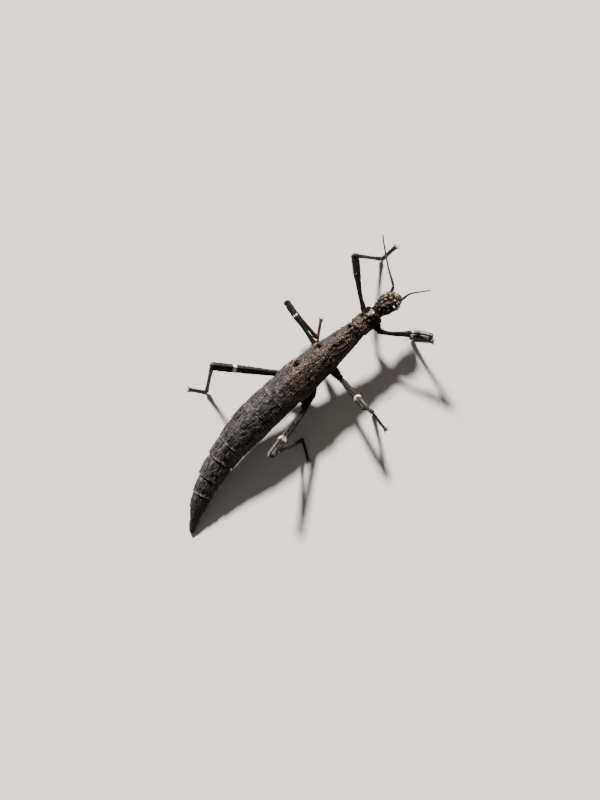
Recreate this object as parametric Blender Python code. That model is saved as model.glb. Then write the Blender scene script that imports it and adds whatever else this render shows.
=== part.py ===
"""A giant stick insect, life size: a stout, bark-like female with the tip of its tail on the ground.

Every size below is in millimetres. The model is built in a frame of its own, with +Y towards the head,
+X to the insect's right and the ground at height 0, and is then centred over the origin. A place on the
trunk is given by its distance behind the front of the head, measured along the trunk's line.
"""

import math

import bmesh
import bpy
from mathutils import Matrix, Vector

METRES = 0.001
GAP = 0.26  # clearance left where two pieces of the body meet
UP = Vector((0.0, 0.0, 1.0))

# The trunk's line runs straight through the thorax, then bends and sinks through the abdomen.
HIP_AT = 39.6
HIP_POINT = Vector((0.0, -10.0, 11.4))
TAIL_END = 98.2
HEAD_TURN = -4.0  # degrees, towards the right
THORAX_YAW = -1.0
THORAX_PITCH = 3.0
TAIL_BEND = 38.9  # further turn to the right, all of it in the abdomen
TAIL_DROOP = 15.8
PATH_STEP = 0.1
BODY_SIDES = 18
RINGS_EACH = 5

HEAD_LENGTH, HEAD_WIDTH, HEAD_HEIGHT = 7.5, 6.5, 5.4
# share of the length, share of the width, share of the height, drop of the centre
HEAD_PROFILE = (
    (0.0, 0.40, 0.46, -0.60),
    (0.07, 0.64, 0.68, -0.42),
    (0.20, 0.86, 0.88, -0.18),
    (0.38, 1.0, 0.98, 0.0),
    (0.58, 0.98, 1.0, 0.06),
    (0.80, 0.87, 0.88, 0.04),
    (1.0, 0.72, 0.74, 0.0),
)
# name, length, then (width, height) at the front, the middle and the rear
TRUNK = (
    ("neck", 1.0, (4.6, 4.2), (4.3, 4.0), (4.6, 4.2)),
    ("prothorax", 7.1, (5.7, 5.0), (6.5, 5.6), (6.1, 5.4)),
    ("mesothorax", 14.6, (6.0, 5.4), (8.3, 6.8), (10.3, 8.2)),
    ("metathorax", 9.8, (10.3, 8.2), (11.1, 8.7), (12.7, 9.1)),
    ("abdomen_1", 3.4, (12.6, 9.1), (12.1, 9.1), (11.6, 9.1)),
    ("abdomen_2", 4.9, (11.3, 9.1), (11.6, 9.3), (11.7, 9.4)),
    ("abdomen_3", 6.4, (11.5, 9.3), (11.9, 9.6), (12.0, 9.7)),
    ("abdomen_4", 6.8, (11.8, 9.6), (12.0, 9.8), (11.6, 9.5)),
    ("abdomen_5", 6.2, (11.4, 9.4), (10.9, 9.0), (10.2, 8.4)),
    ("abdomen_6", 5.6, (9.9, 8.2), (9.6, 8.0), (9.2, 7.6)),
    ("abdomen_7", 6.6, (8.3, 7.0), (8.6, 7.0), (8.1, 6.5)),
)
# The last rings are closed below by the plate that guides the eggs.
TAIL_RINGS = (
    ("abdomen_8", 5.6, (7.2, 6.0), (6.9, 5.7), (6.7, 5.2)),
    ("abdomen_9", 4.8, (6.2, 5.0), (5.8, 4.6), (5.1, 4.1)),
    ("abdomen_10", 6.0, (4.7, 3.9), (3.7, 3.2), (2.0, 2.2)),
)
TAIL_START = HEAD_LENGTH + sum(row[1] for row in TRUNK)
TAIL_SPLIT = -0.12  # where the rings stop and the plate begins, as a share of the half height
PLATE_INSET = 0.8  # the plate starts this far behind the first ring that it closes
PLATE_RINGS, PLATE_SIDES = 9, 10
PLATE_TIP = (1.0, 1.5)  # width and height
PLATE_TIP_TOP = 0.35  # past the last ring the plate rises this far above the centre line
PLATE_WIDER, PLATE_DEEPER = 0.97, 1.04
DORSAL_KEEL = 0.10  # ridge along the back, as a share of the half height
BELLY = 0.90  # the belly is this much flatter than the back
UNCUT = 9.0  # deeper than any section

EYE_RADIUS = 0.80
EYE_AT, EYE_SIDE, EYE_HEIGHT = 2.5, 2.72, 0.55
EYE_SOCKET = 0.2  # clearance round the eye
JAWS_AT, JAWS_DROP = 0.30, 1.5
JAWS_RADII = (1.35, 0.95, 1.0)

# Thorns in pairs: distance behind the head, distance from the midline, height
HEAD_THORNS = ((1.9, 1.2, 1.1), (5.0, 1.9, 0.9))
BACK_THORNS = ((11.9, 1.5, 1.0), (16.9, 1.3, 1.3), (27.6, 2.6, 1.6), (36.1, 2.8, 1.7))
THORN_WIDTH = 1.5
THORN_POINT = 0.24  # width of the blunt tip, as a share of the foot
THORN_ROOT = 0.9  # depth sunk into the body
SIDE_THORN_FIRST, SIDE_THORN_LAST, SIDE_THORN_STEP = 19.2, 35.6, 3.0
SIDE_THORN_HEIGHT, SIDE_THORN_WIDTH = 0.65, 1.2

SCAPE_THICKNESS, ANTENNA_THICKNESS = 1.0, 0.56
# Distance behind the front of the head, to the right of the midline and above it
ANTENNA_ROUTES = {
    "left": ((1.3, -1.9, 0.8), (-0.5, -3.1, 1.8), (-2.4, -7.5, 4.0), (-5.5, -13.5, 5.8), (-7.1, -16.3, 6.3)),
    "right": ((0.8, 1.75, 0.8), (-0.4, 2.35, 1.8), (-2.5, 3.5, 4.6), (-4.7, 6.4, 8.7), (-7.2, 9.6, 12.6)),
}
PALP_THICKNESS = 0.55

COXA_THICKNESS = {"fore": 2.9, "mid": 3.0, "hind": 5.2}
# Share of a hip's length, share of its thickness: the hind hips are broad cones
SLIM_COXA = ((0.0, 0.9), (0.3, 1.0), (0.55, 0.96), (0.78, 0.80), (1.0, 0.56))
BROAD_COXA = ((0.0, 0.9), (0.3, 1.0), (0.5, 0.95), (0.68, 0.70), (0.85, 0.53), (1.0, 0.42))
HIP_SIDE = {"fore": 1.4, "mid": 1.4, "hind": 2.2}
HIP_DROP = 1.6
TIBIA_THICKNESS = 1.5
ANKLE_HEIGHT = 1.05
KNEE_OVERHANG = 0.55  # the thigh runs this far past the middle of the knee
KNEE_INSET = 0.3  # the shin starts this far inside it, on the hip's side
LEFT_BOW = 0.5  # the left front thigh curves a little round the head
RIGHT_BOW = 0.4  # the right one is bent twice, first towards the tail
SLENDER_THIGHS = ("fore_left", "fore_right", "mid_left")
# Share of a thigh's length, share of its thickness: slender before the middle, or stout all along
SLENDER_THIGH = (
    (0.0, 0.90),
    (0.10, 0.76),
    (0.25, 0.62),
    (0.45, 0.76),
    (0.65, 1.02),
    (0.85, 1.08),
    (0.95, 1.08),
    (1.0, 0.75),
)
STOUT_THIGH = (
    (0.0, 0.80),
    (0.10, 0.82),
    (0.25, 0.88),
    (0.45, 0.97),
    (0.65, 1.06),
    (0.85, 1.07),
    (0.95, 1.06),
    (1.0, 0.75),
)
TARSUS_LENGTH = 6.2
TARSUS_THICKNESS = 1.0
TARSUS_WAIST = 0.72  # a joint of the foot starts at this share of its full thickness
TARSUS_HEIGHT = 0.26  # the foot's centre line above the ground, less than its radius, so its sole is flat
TARSUS_SIDES = 8
TARSUS_RISE = 0.22  # share of the foot's length over which it climbs to the ankle
# Share of the foot's length at which each of its five joints ends
TARSUS_JOINTS = (0.33, 0.49, 0.60, 0.70, 1.0)
TARSUS_NOTCH = 0.012
CLAW_THICKNESS = 0.5

# hip, thigh thickness, then trochanter, knee, ankle and toe
LEGS = {
    "fore_left": (10.6, 2.1, (-3.3, 19.3, 10.6), (-17.5, 28.2, 15.0), (-17.1, 35.1), (-17.3, 41.3)),
    "fore_right": (10.6, 2.1, (4.5, 18.3, 10.6), (18.3, 27.8, 15.0), (9.7, 25.2), (14.3, 29.3)),
    "mid_left": (29.3, 1.9, (-7.2, 1.5, 8.6), (-22.1, 3.4, 11.3), (-10.7, 3.6), (-14.7, 8.2)),
    "mid_right": (29.3, 2.1, (8.2, 0.3, 8.8), (21.8, -0.1, 15.5), (19.6, 1.2), (25.8, 0.8)),
    "hind_left": (36.8, 2.35, (-7.1, -12.9, 8.2), (-19.1, -26.8, 18.0), (-21.2, -33.9), (-26.2, -37.7)),
    "hind_right": (36.8, 2.35, (7.4, -13.9, 8.2), (14.8, -30.2, 18.0), (12.0, -20.5), (17.7, -23.1)),
}
# The pieces of the trunk that each pair of hips is fitted against
CARRIERS = {
    "fore": ("prothorax",),
    "mid": ("mesothorax", "metathorax"),
    "hind": ("metathorax", "abdomen_1", "abdomen_2"),
}
SIGNS = {"left": -1, "right": 1}

# colour and roughness
FINISHES = {
    "cuticle": ((0.085, 0.068, 0.060, 1.0), 0.72),
    "thorax": ((0.145, 0.105, 0.085, 1.0), 0.85),
    "limb": ((0.060, 0.045, 0.040, 1.0), 0.62),
    "antenna": ((0.075, 0.032, 0.024, 1.0), 0.5),
    "eye": ((0.110, 0.070, 0.035, 1.0), 0.25),
}


def clear_scene():
    for thing in list(bpy.data.objects):
        bpy.data.objects.remove(thing, do_unlink=True)


def new_collection(name):
    made = bpy.data.collections.new(name)
    bpy.context.scene.collection.children.link(made)
    return made


def make_material(name):
    colour, roughness = FINISHES[name]
    made = bpy.data.materials.new(name)
    made.use_nodes = True
    shader = made.node_tree.nodes["Principled BSDF"]
    shader.inputs["Base Color"].default_value = colour
    shader.inputs["Roughness"].default_value = roughness
    return made


# The trunk's centre line


def heading(s):
    """Yaw and pitch of the trunk's line, in radians, at distance s behind the front of the head."""
    bend = min(max((s - HIP_AT) / (TAIL_END - HIP_AT), 0.0), 1.0)
    yaw = THORAX_YAW + TAIL_BEND * bend**2 + (HEAD_TURN if s < HEAD_LENGTH else 0.0)
    return math.radians(yaw), math.radians(THORAX_PITCH + TAIL_DROOP * bend)


def backward(s):
    """Unit vector along the trunk, from head to tail."""
    yaw, pitch = heading(s)
    return Vector((math.sin(yaw) * math.cos(pitch), -math.cos(yaw) * math.cos(pitch), -math.sin(pitch)))


def trunk_point(s):
    """Centre of the trunk at distance s, summed along the line from the hind hips."""
    steps = max(1, round(abs(s - HIP_AT) / PATH_STEP))
    step = (s - HIP_AT) / steps
    point = HIP_POINT.copy()
    for i in range(steps):
        point += backward(HIP_AT + (i + 0.5) * step) * step
    return point


def trunk_frame(s):
    """Centre of the trunk with its right-hand and upward directions."""
    right = backward(s).cross(UP).normalized() * -1
    return trunk_point(s), right, backward(s).cross(right).normalized()


def on_trunk(s, side, height):
    """A point given by its distance behind the head, to the right of the centre line and above it."""
    centre, right, up = trunk_frame(s)
    return centre + right * side + up * height


# Sections and lofts


def body_outline(width, height, low=-UNCUT):
    """A trunk section as (side, up) pairs: an oval with a ridged back and flat belly, cut level at low."""
    points = []
    for angle in around(BODY_SIDES):
        side = math.cos(angle) * width / 2
        up = math.sin(angle) * height / 2
        off_top = math.degrees(abs(angle - math.pi / 2))
        up += DORSAL_KEEL * height / 2 * math.exp(-((off_top / 22) ** 2))
        if up < 0:
            up *= BELLY
        points.append((side, max(up, low)))
    return points


def plate_outline(width, height, top):
    """The part of a trunk section below a level cut at top, as (side, up) pairs."""
    depth = height / 2 * BELLY
    rim = math.asin(-top / depth)
    points = []
    for i in range(PLATE_SIDES):
        angle = math.pi + rim + (math.pi - 2 * rim) * i / (PLATE_SIDES - 1)
        points.append((math.cos(angle) * width / 2, math.sin(angle) * depth))
    return points


def ridged_outline(thickness, sides, ridge):
    """A limb section: round, with four raised edges."""
    points = []
    for angle in around(sides):
        radius = thickness / 2 * (1 + ridge * math.cos(4 * angle)) / (1 + ridge / 2)
        points.append((math.cos(angle) * radius, math.sin(angle) * radius))
    return points


def around(sides):
    return [math.tau * i / sides for i in range(sides)]


def placed(centre, right, up, outline):
    return [centre + right * side + up * rise for side, rise in outline]


def above_ground(ring):
    return [Vector((point.x, point.y, max(point.z, 0.0))) for point in ring]


def loft(name, rings, colour):
    """A closed skin over a run of rings, given in millimetres, that all have the same count of points."""
    origin = sum(rings[0], Vector()) / len(rings[0])
    mesh = bmesh.new()
    loops = [[mesh.verts.new((point - origin) * METRES) for point in ring] for ring in rings]
    count = len(rings[0])
    for near, far in zip(loops, loops[1:]):
        for i in range(count):
            j = (i + 1) % count
            mesh.faces.new((near[i], near[j], far[j], far[i]))
    mesh.faces.new(loops[0])
    mesh.faces.new(loops[-1])
    bmesh.ops.triangulate(mesh, faces=[face for face in mesh.faces if len(face.verts) > 4])
    return finished(name, mesh, origin, colour)


def finished(name, mesh, origin, colour):
    bmesh.ops.recalc_face_normals(mesh, faces=mesh.faces)
    data = bpy.data.meshes.new(name)
    mesh.to_mesh(data)
    mesh.free()
    data.materials.clear()
    data.materials.append(materials[colour])
    data.shade_smooth()
    data.set_sharp_from_angle(angle=math.radians(50))
    made = bpy.data.objects.new(name, data)
    made.location = origin * METRES
    made.parent = root
    insect.objects.link(made)
    return made


def ball(name, centre, radii, colour):
    """An ellipsoid of the given half sizes."""
    mesh = bmesh.new()
    bmesh.ops.create_uvsphere(mesh, u_segments=12, v_segments=8, radius=METRES)
    bmesh.ops.scale(mesh, vec=radii, verts=mesh.verts)
    return finished(name, mesh, centre, colour)


def bent_rod(name, knots, colour, per_span=3):
    """A tapering rod on a smooth line through knots, each a point with the rod's thickness there."""
    origin = knots[0][0]
    line = smooth_line([Vector((*(point - origin), thickness)) for point, thickness in knots], per_span)
    path = bpy.data.curves.new(name + "_path", "CURVE")
    path.dimensions = "3D"
    path.bevel_depth = METRES / 2
    path.bevel_resolution = 2
    path.use_fill_caps = True
    spline = path.splines.new("POLY")
    spline.points.add(len(line) - 1)
    for point, knot in zip(spline.points, line):
        point.co = (*(knot.xyz * METRES), 1.0)
        point.radius = knot.w
    guide = bpy.data.objects.new(path.name, path)
    guides.objects.link(guide)
    graph = bpy.context.evaluated_depsgraph_get()
    tube = bpy.data.meshes.new_from_object(guide.evaluated_get(graph))
    mesh = bmesh.new()
    mesh.from_mesh(tube)
    bmesh.ops.remove_doubles(mesh, verts=mesh.verts, dist=1e-6)
    bpy.data.objects.remove(guide)
    bpy.data.meshes.remove(tube)
    return finished(name, mesh, origin, colour)


def smooth_line(points, per_span):
    """Points on a Catmull-Rom curve through the given ones."""
    padded = [points[0] * 2 - points[1], *points, points[-1] * 2 - points[-2]]
    line = []
    for a, b, c, d in zip(padded, padded[1:], padded[2:], padded[3:]):
        for i in range(per_span):
            t = i / per_span
            curve = b * 2 + (c - a) * t + (a * 2 - b * 5 + c * 4 - d) * t**2 + (b * 3 - a - c * 3 + d) * t**3
            line.append(curve / 2)
    return line + [points[-1]]


def through(front, middle, rear, share):
    """The value at share along a smooth run that has these values at its front, middle and rear."""
    return tuple(
        a * (1 - share) * (1 - 2 * share) + 4 * b * share * (1 - share) + c * share * (2 * share - 1)
        for a, b, c in zip(front, middle, rear)
    )


# Joining and cutting


def as_cutter(piece):
    """Puts a piece aside as a hidden guide."""
    for held in list(piece.users_collection):
        held.objects.unlink(piece)
    guides.objects.link(piece)
    piece.hide_render = True
    piece.display_type = "WIRE"
    return piece


def swollen(piece, by=GAP):
    """A hidden copy of a piece's own shape, larger by a clearance all round."""
    mesh = bmesh.new()
    mesh.from_mesh(piece.data)
    mesh.normal_update()
    for vertex in mesh.verts:
        vertex.co += vertex.normal * by * METRES
    copy = finished(piece.name + "_clearance", mesh, piece.location / METRES, "limb")
    return as_cutter(copy)


def boolean(piece, other, operation):
    step = piece.modifiers.new(operation.lower() + "_" + other.name, "BOOLEAN")
    step.object = other
    step.operation = operation
    step.solver = "EXACT"


def trimmed(piece, *neighbours):
    """Cuts a piece back from each neighbour, so that they meet with an even clearance."""
    for neighbour in neighbours:
        boolean(piece, swollen(neighbour), "DIFFERENCE")
    return piece


def grown(piece, *extras):
    """Joins small forms, such as thorns, to the piece that they grow from."""
    for extra in extras:
        boolean(piece, as_cutter(extra), "UNION")
    return piece


def thorn(name, foot, aim, height, width):
    """A blunt cone with its foot sunk into the body."""
    depth = height + THORN_ROOT
    mesh = bmesh.new()
    bmesh.ops.create_cone(
        mesh,
        cap_ends=True,
        segments=6,
        radius1=width / 2 * METRES,
        radius2=width / 2 * THORN_POINT * METRES,
        depth=depth * METRES,
    )
    aim = aim.normalized()
    turn = UP.rotation_difference(aim).to_matrix().to_4x4()
    bmesh.ops.transform(mesh, matrix=turn, verts=mesh.verts)
    return finished(name, mesh, foot + aim * (height - depth / 2), "thorax")


def add_back_thorn(piece, name, s, side, height, size, width=THORN_WIDTH):
    """A thorn on the back of a section of the given width and height. It leans a little back and outwards."""
    half_width, half_height = size[0] / 2, size[1] / 2
    rise = half_height * math.sqrt(1 - (side / half_width) ** 2)
    right, up = trunk_frame(s)[1:]
    aim = up + right * math.copysign(0.35, side) + backward(s) * 0.25
    grown(piece, thorn(name, on_trunk(s, side, rise), aim, height, width))


# Head and trunk


def build_head():
    """A capsule, widest behind the eyes, with a blunt sloping face and two pairs of thorns on the crown."""
    rings = []
    for share, wide, tall, drop in HEAD_PROFILE:
        centre, right, up = trunk_frame(share * HEAD_LENGTH)
        outline = body_outline(HEAD_WIDTH * wide, HEAD_HEIGHT * tall)
        rings.append(placed(centre + up * drop, right, up, outline))
    head = loft("head", rings, "thorax")
    for index, (s, side, height) in enumerate(HEAD_THORNS):
        for word, sign in SIGNS.items():
            size = (HEAD_WIDTH * 0.94, HEAD_HEIGHT * 0.96)
            add_back_thorn(head, f"head_thorn_{index}_{word}", s, sign * side, height, size, 1.3)
    return head


def build_eyes(head):
    """Round eyes on the sides of the head just behind the antennae, each in its own socket."""
    for word, sign in SIGNS.items():
        centre = on_trunk(EYE_AT, sign * EYE_SIDE, EYE_HEIGHT)
        eye = ball(f"eye_{word}", centre, (EYE_RADIUS * 0.8, EYE_RADIUS * 1.08, EYE_RADIUS), "eye")
        boolean(head, swollen(eye, EYE_SOCKET), "DIFFERENCE")


def build_mouth(head):
    """The jaws, one blunt form under the face, and the pair of short feelers beside them."""
    jaws = ball("jaws", on_trunk(JAWS_AT, 0, -JAWS_DROP), JAWS_RADII, "limb")
    trimmed(jaws, head)
    for word, sign in SIGNS.items():
        knots = (
            (on_trunk(1.6, sign * 0.9, -1.9), PALP_THICKNESS),
            (on_trunk(0.9, sign * 1.25, -2.5), PALP_THICKNESS * 1.1),
            (on_trunk(0.4, sign * 1.0, -3.0), PALP_THICKNESS * 0.9),
        )
        trimmed(bent_rod(f"palp_{word}", knots, "limb"), head, jaws)


def build_antennae(head):
    """Two short feelers in front of the eyes: the left swings out to the side, the right rises forwards."""
    flagellum = [ANTENNA_THICKNESS] * 3
    for word, route in ANTENNA_ROUTES.items():
        thicknesses = (SCAPE_THICKNESS, SCAPE_THICKNESS * 0.8, *flagellum)
        knots = [(on_trunk(*place), thickness) for place, thickness in zip(route, thicknesses)]
        trimmed(bent_rod(f"antenna_{word}", knots, "antenna"), head)


def build_ring(name, start, length, sections, colour, low=None):
    """One ring of the trunk, GAP short of the next. A ring of the tail is cut level below."""
    rings = []
    for i in range(RINGS_EACH):
        share = i / (RINGS_EACH - 1)
        width, height = through(*sections, share)
        floor = -UNCUT if low is None else low * height / 2
        frame = trunk_frame(start + GAP / 2 + (length - GAP) * share)
        rings.append(placed(*frame, body_outline(width, height, low=floor)))
    return loft(name, rings, colour)


def add_side_thorns(piece, name, start, length, sections):
    """A row of low thorns along each flank of a ring of the thorax."""
    count = round((SIDE_THORN_LAST - SIDE_THORN_FIRST) / SIDE_THORN_STEP) + 1
    for i in range(count):
        s = SIDE_THORN_FIRST + i * SIDE_THORN_STEP
        if not start + SIDE_THORN_WIDTH < s < start + length - SIDE_THORN_WIDTH:
            continue
        half_width = through(*sections, (s - start) / length)[0] / 2
        right, up = trunk_frame(s)[1:]
        for word, sign in SIGNS.items():
            foot = on_trunk(s, sign * (half_width - 0.15), 0.5)
            aim = right * sign + up * 0.4 + backward(s) * 0.2
            extra = thorn(f"{name}_side_thorn_{i}_{word}", foot, aim, SIDE_THORN_HEIGHT, SIDE_THORN_WIDTH)
            grown(piece, extra)


def build_trunk():
    """The rings from the neck to the tail, in order, each with its own thorns joined to it."""
    pieces, start = {}, HEAD_LENGTH
    for name, length, *sections in TRUNK:
        piece = build_ring(name, start, length, sections, "cuticle" if "abdomen" in name else "thorax")
        for index, (s, side, height) in enumerate(BACK_THORNS):
            if start < s < start + length:
                size = through(*sections, (s - start) / length)
                for word, sign in SIGNS.items():
                    add_back_thorn(piece, f"back_thorn_{index}_{word}", s, sign * side, height, size)
        if name in ("mesothorax", "metathorax"):
            add_side_thorns(piece, name, start, length, sections)
        pieces[name] = piece
        start += length
    for name, length, *sections in TAIL_RINGS:
        pieces[name] = build_ring(name, start, length, sections, "cuticle", low=TAIL_SPLIT)
        start += length
    return pieces


def tail_section(s):
    """Width and height of the tail at distance s, where the plate closes it from below."""
    start = TAIL_START
    for _, length, *sections in TAIL_RINGS:
        if s <= start + length:
            return through(*sections, (s - start) / length)
        start += length
    share = min(1.0, (s - start) / (TAIL_END - start))
    return Vector(sections[-1]).lerp(Vector(PLATE_TIP), share)


def build_plate():
    """The boat-shaped plate under the tail. It runs out to the tip, where it rests on the ground."""
    first = TAIL_START + PLATE_INSET
    last = TAIL_START + sum(row[1] for row in TAIL_RINGS) + GAP
    stations = [first + (last - first) * i / (PLATE_RINGS - 2) for i in range(PLATE_RINGS - 1)]
    rings = []
    for s in (*stations, TAIL_END):
        width, height = tail_section(s)
        top = PLATE_TIP_TOP if s == TAIL_END else TAIL_SPLIT * height / 2 - GAP
        outline = plate_outline(width * PLATE_WIDER, height * PLATE_DEEPER, top)
        rings.append(above_ground(placed(*trunk_frame(s), outline)))
    return loft("egg_plate", rings, "cuticle")


# Legs


def limb(name, points, thicknesses, colour, ridge, sides=8):
    """A ridged tapering limb through the given points, each with its thickness."""
    rings = []
    for i, (point, thickness) in enumerate(zip(points, thicknesses)):
        along = (points[min(i + 1, len(points) - 1)] - points[max(i - 1, 0)]).normalized()
        right = along.cross(UP).normalized()
        rings.append(placed(point, right, right.cross(along), ridged_outline(thickness, sides, ridge)))
    return loft(name, rings, colour)


def build_coxa(name, thickness, hip, trochanter, carriers):
    """The hip and its short trochanter, rooted low in the side of the thorax."""
    profile = BROAD_COXA if name.startswith("hind") else SLIM_COXA
    points = [hip.lerp(trochanter, share) for share, _ in profile]
    thicknesses = [thickness * size for _, size in profile]
    return trimmed(limb(f"coxa_{name}", points, thicknesses, "thorax", 0.06, sides=10), *carriers)


def thigh_bow(name, share):
    """How far a thigh's centre line lies behind the straight line between its ends."""
    if name == "fore_left":
        return LEFT_BOW * math.sin(math.pi * share**0.7)
    if name == "fore_right":
        return RIGHT_BOW * math.sin(2 * math.pi * share)
    return 0.0


def build_femur(name, thickness, trochanter, knee, coxa):
    """A four-edged thigh that runs a little past the knee."""
    outward = Vector((knee.x - trochanter.x, knee.y - trochanter.y, 0)).normalized()
    backwards = outward.cross(UP) * (1 if knee.x > trochanter.x else -1)
    end = knee + (knee - trochanter).normalized() * KNEE_OVERHANG
    profile = SLENDER_THIGH if name in SLENDER_THIGHS else STOUT_THIGH
    points = [trochanter.lerp(end, share) + backwards * thigh_bow(name, share) for share, _ in profile]
    femur = limb(f"femur_{name}", points, [thickness * size for _, size in profile], "limb", 0.14)
    return trimmed(femur, coxa)


def build_tibia(name, trochanter, knee, ankle, femur):
    """The shin, from inside the bend of the knee down to the ankle."""
    shares = (0.0, 0.07, 0.14, 0.45, 0.80, 0.94, 1.0)
    sizes = (0.35, 0.85, 1.0, 0.84, 0.86, 1.05, 0.8)
    start = knee + (trochanter - knee).normalized() * KNEE_INSET
    points = [start.lerp(ankle, share) for share in shares]
    tibia = limb(f"tibia_{name}", points, [TIBIA_THICKNESS * size for size in sizes], "limb", 0.12)
    return trimmed(tibia, femur)


def tarsus_thickness(share):
    """Each joint of the foot is narrow at its start and flares towards its end."""
    start = 0.0
    for end in TARSUS_JOINTS:
        if share <= end:
            return TARSUS_THICKNESS * (TARSUS_WAIST + (1 - TARSUS_WAIST) * (share - start) / (end - start))
        start = end
    return TARSUS_THICKNESS


def build_tarsus(name, ankle, toe, tibia):
    """A five-jointed foot with a flat sole and two hooked claws, lying on the ground."""
    reach = (Vector((toe[0], toe[1], 0)) - Vector((ankle.x, ankle.y, 0))).normalized()
    right = reach.cross(UP)
    shares = [0.0]
    for end in TARSUS_JOINTS[:-1]:
        shares += [end - TARSUS_NOTCH, end + TARSUS_NOTCH]
    shares += [0.9, 1.0]
    rings = []
    for share in shares:
        climb = max(0.0, 1 - share / TARSUS_RISE) ** 2
        height = TARSUS_HEIGHT + (ANKLE_HEIGHT - 0.3 - TARSUS_HEIGHT) * climb
        centre = Vector((ankle.x, ankle.y, height)) + reach * TARSUS_LENGTH * share
        radius = tarsus_thickness(share) / 2
        half_step = math.pi / TARSUS_SIDES
        angles = [angle + half_step for angle in around(TARSUS_SIDES)]
        outline = [(math.cos(angle) * radius, math.sin(angle) * radius) for angle in angles]
        rings.append(above_ground(placed(centre, right, UP, outline)))
    tarsus = loft(f"tarsus_{name}", rings, "limb")
    end = Vector((ankle.x, ankle.y, TARSUS_HEIGHT)) + reach * TARSUS_LENGTH
    for word, sign in SIGNS.items():
        grown(tarsus, build_claw(f"claw_{name}_{word}", end, reach, right * sign))
    return trimmed(tarsus, tibia)


def build_claw(name, end, reach, out):
    """A hook that leaves the foot's end sideways and curls down to a point."""
    knots = (
        (end - reach * 0.35 + out * 0.1 + UP * 0.02, CLAW_THICKNESS),
        (end + reach * 0.15 + out * 0.26 + UP * 0.10, CLAW_THICKNESS),
        (end + reach * 0.6 + out * 0.55 + UP * 0.06, CLAW_THICKNESS * 0.8),
        (end + reach * 0.9 + out * 0.72 - UP * 0.08, CLAW_THICKNESS * 0.4),
    )
    return bent_rod(name, knots, "limb", per_span=1)


def build_legs(trunk):
    """Six legs, each of hip, thigh, shin and foot."""
    for name, (hip_at, thickness, trochanter, knee, ankle, toe) in LEGS.items():
        pair, side = name.split("_")
        trochanter, knee = Vector(trochanter), Vector(knee)
        ankle = Vector((*ankle, ANKLE_HEIGHT))
        hip = on_trunk(hip_at, SIGNS[side] * HIP_SIDE[pair], -HIP_DROP)
        carriers = [trunk[part] for part in CARRIERS[pair]]
        coxa = build_coxa(name, COXA_THICKNESS[pair], hip, trochanter, carriers)
        femur = build_femur(name, thickness, trochanter, knee, coxa)
        tibia = build_tibia(name, trochanter, knee, ankle, femur)
        build_tarsus(name, ankle, toe, tibia)


def centre_over_origin():
    """Moves the insect so that its box is centred over the origin and stands on height 0."""
    bpy.context.view_layer.update()
    graph = bpy.context.evaluated_depsgraph_get()
    corners = []
    for piece in insect.objects:
        solid = piece.evaluated_get(graph)
        corners += [solid.matrix_world @ vertex.co for vertex in solid.data.vertices]
    low = Vector([min(corner[axis] for corner in corners) for axis in range(3)])
    high = Vector([max(corner[axis] for corner in corners) for axis in range(3)])
    root.location = (-(low.x + high.x) / 2, -(low.y + high.y) / 2, -low.z)


clear_scene()
insect = new_collection("stick_insect")
guides = new_collection("cutters")
materials = {name: make_material(name) for name in FINISHES}
root = bpy.data.objects.new("stick_insect_centre", None)
bpy.context.scene.collection.objects.link(root)

head_capsule = build_head()
build_eyes(head_capsule)
build_mouth(head_capsule)
build_antennae(head_capsule)
trunk_rings = build_trunk()
build_plate()
build_legs(trunk_rings)
centre_over_origin()
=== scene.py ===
import itertools
import math

import bmesh
import bpy
import numpy as np
from mathutils import Matrix, Vector


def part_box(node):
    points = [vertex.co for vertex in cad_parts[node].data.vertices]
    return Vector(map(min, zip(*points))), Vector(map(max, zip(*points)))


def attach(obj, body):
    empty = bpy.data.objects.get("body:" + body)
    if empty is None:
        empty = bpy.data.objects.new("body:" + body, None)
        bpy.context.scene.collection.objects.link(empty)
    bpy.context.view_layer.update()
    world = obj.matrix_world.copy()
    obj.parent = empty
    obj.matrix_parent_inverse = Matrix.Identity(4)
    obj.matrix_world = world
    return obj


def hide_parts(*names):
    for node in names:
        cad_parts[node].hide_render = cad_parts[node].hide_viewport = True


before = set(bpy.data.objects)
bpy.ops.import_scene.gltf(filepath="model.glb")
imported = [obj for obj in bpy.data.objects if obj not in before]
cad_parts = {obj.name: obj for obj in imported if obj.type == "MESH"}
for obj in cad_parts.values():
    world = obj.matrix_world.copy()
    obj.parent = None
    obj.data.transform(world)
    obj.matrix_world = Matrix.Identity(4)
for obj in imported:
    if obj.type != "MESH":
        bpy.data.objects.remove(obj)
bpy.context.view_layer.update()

mm = 0.001
upward = np.array((0.0, 0.0, 1.0))
pairSides = {"left": -1, "right": 1}
bakeMap = "OFBake"
skinMap = "skinMap"  # the map that the small forms on a skin take their place from


# Numbers that repeat: smooth steps, lattices and cells, all of them fixed by a seed


def smoothStep(low, high, value):
    share = np.clip((value - low) / (high - low), 0.0, 1.0)
    return share * share * (3.0 - 2.0 * share)


def between(value, low, first, last, high):  # rises from low to first, and falls from last to high
    return smoothStep(low, first, value) * (1 - smoothStep(last, high, value))


def hump(value, middle, width):
    return np.exp(-(((value - middle) / width) ** 2))


def latticeValue(cell, seed):
    mixed = (cell[0] * 374761393 + cell[1] * 668265263 + cell[2] * 1442695041 + seed * 974634777) & 0xFFFFFFFF
    mixed = ((mixed ^ (mixed >> 13)) * 1274126177) & 0xFFFFFFFF
    return ((mixed ^ (mixed >> 16)) & 0xFFFFFF) / float(0x1000000)


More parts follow.
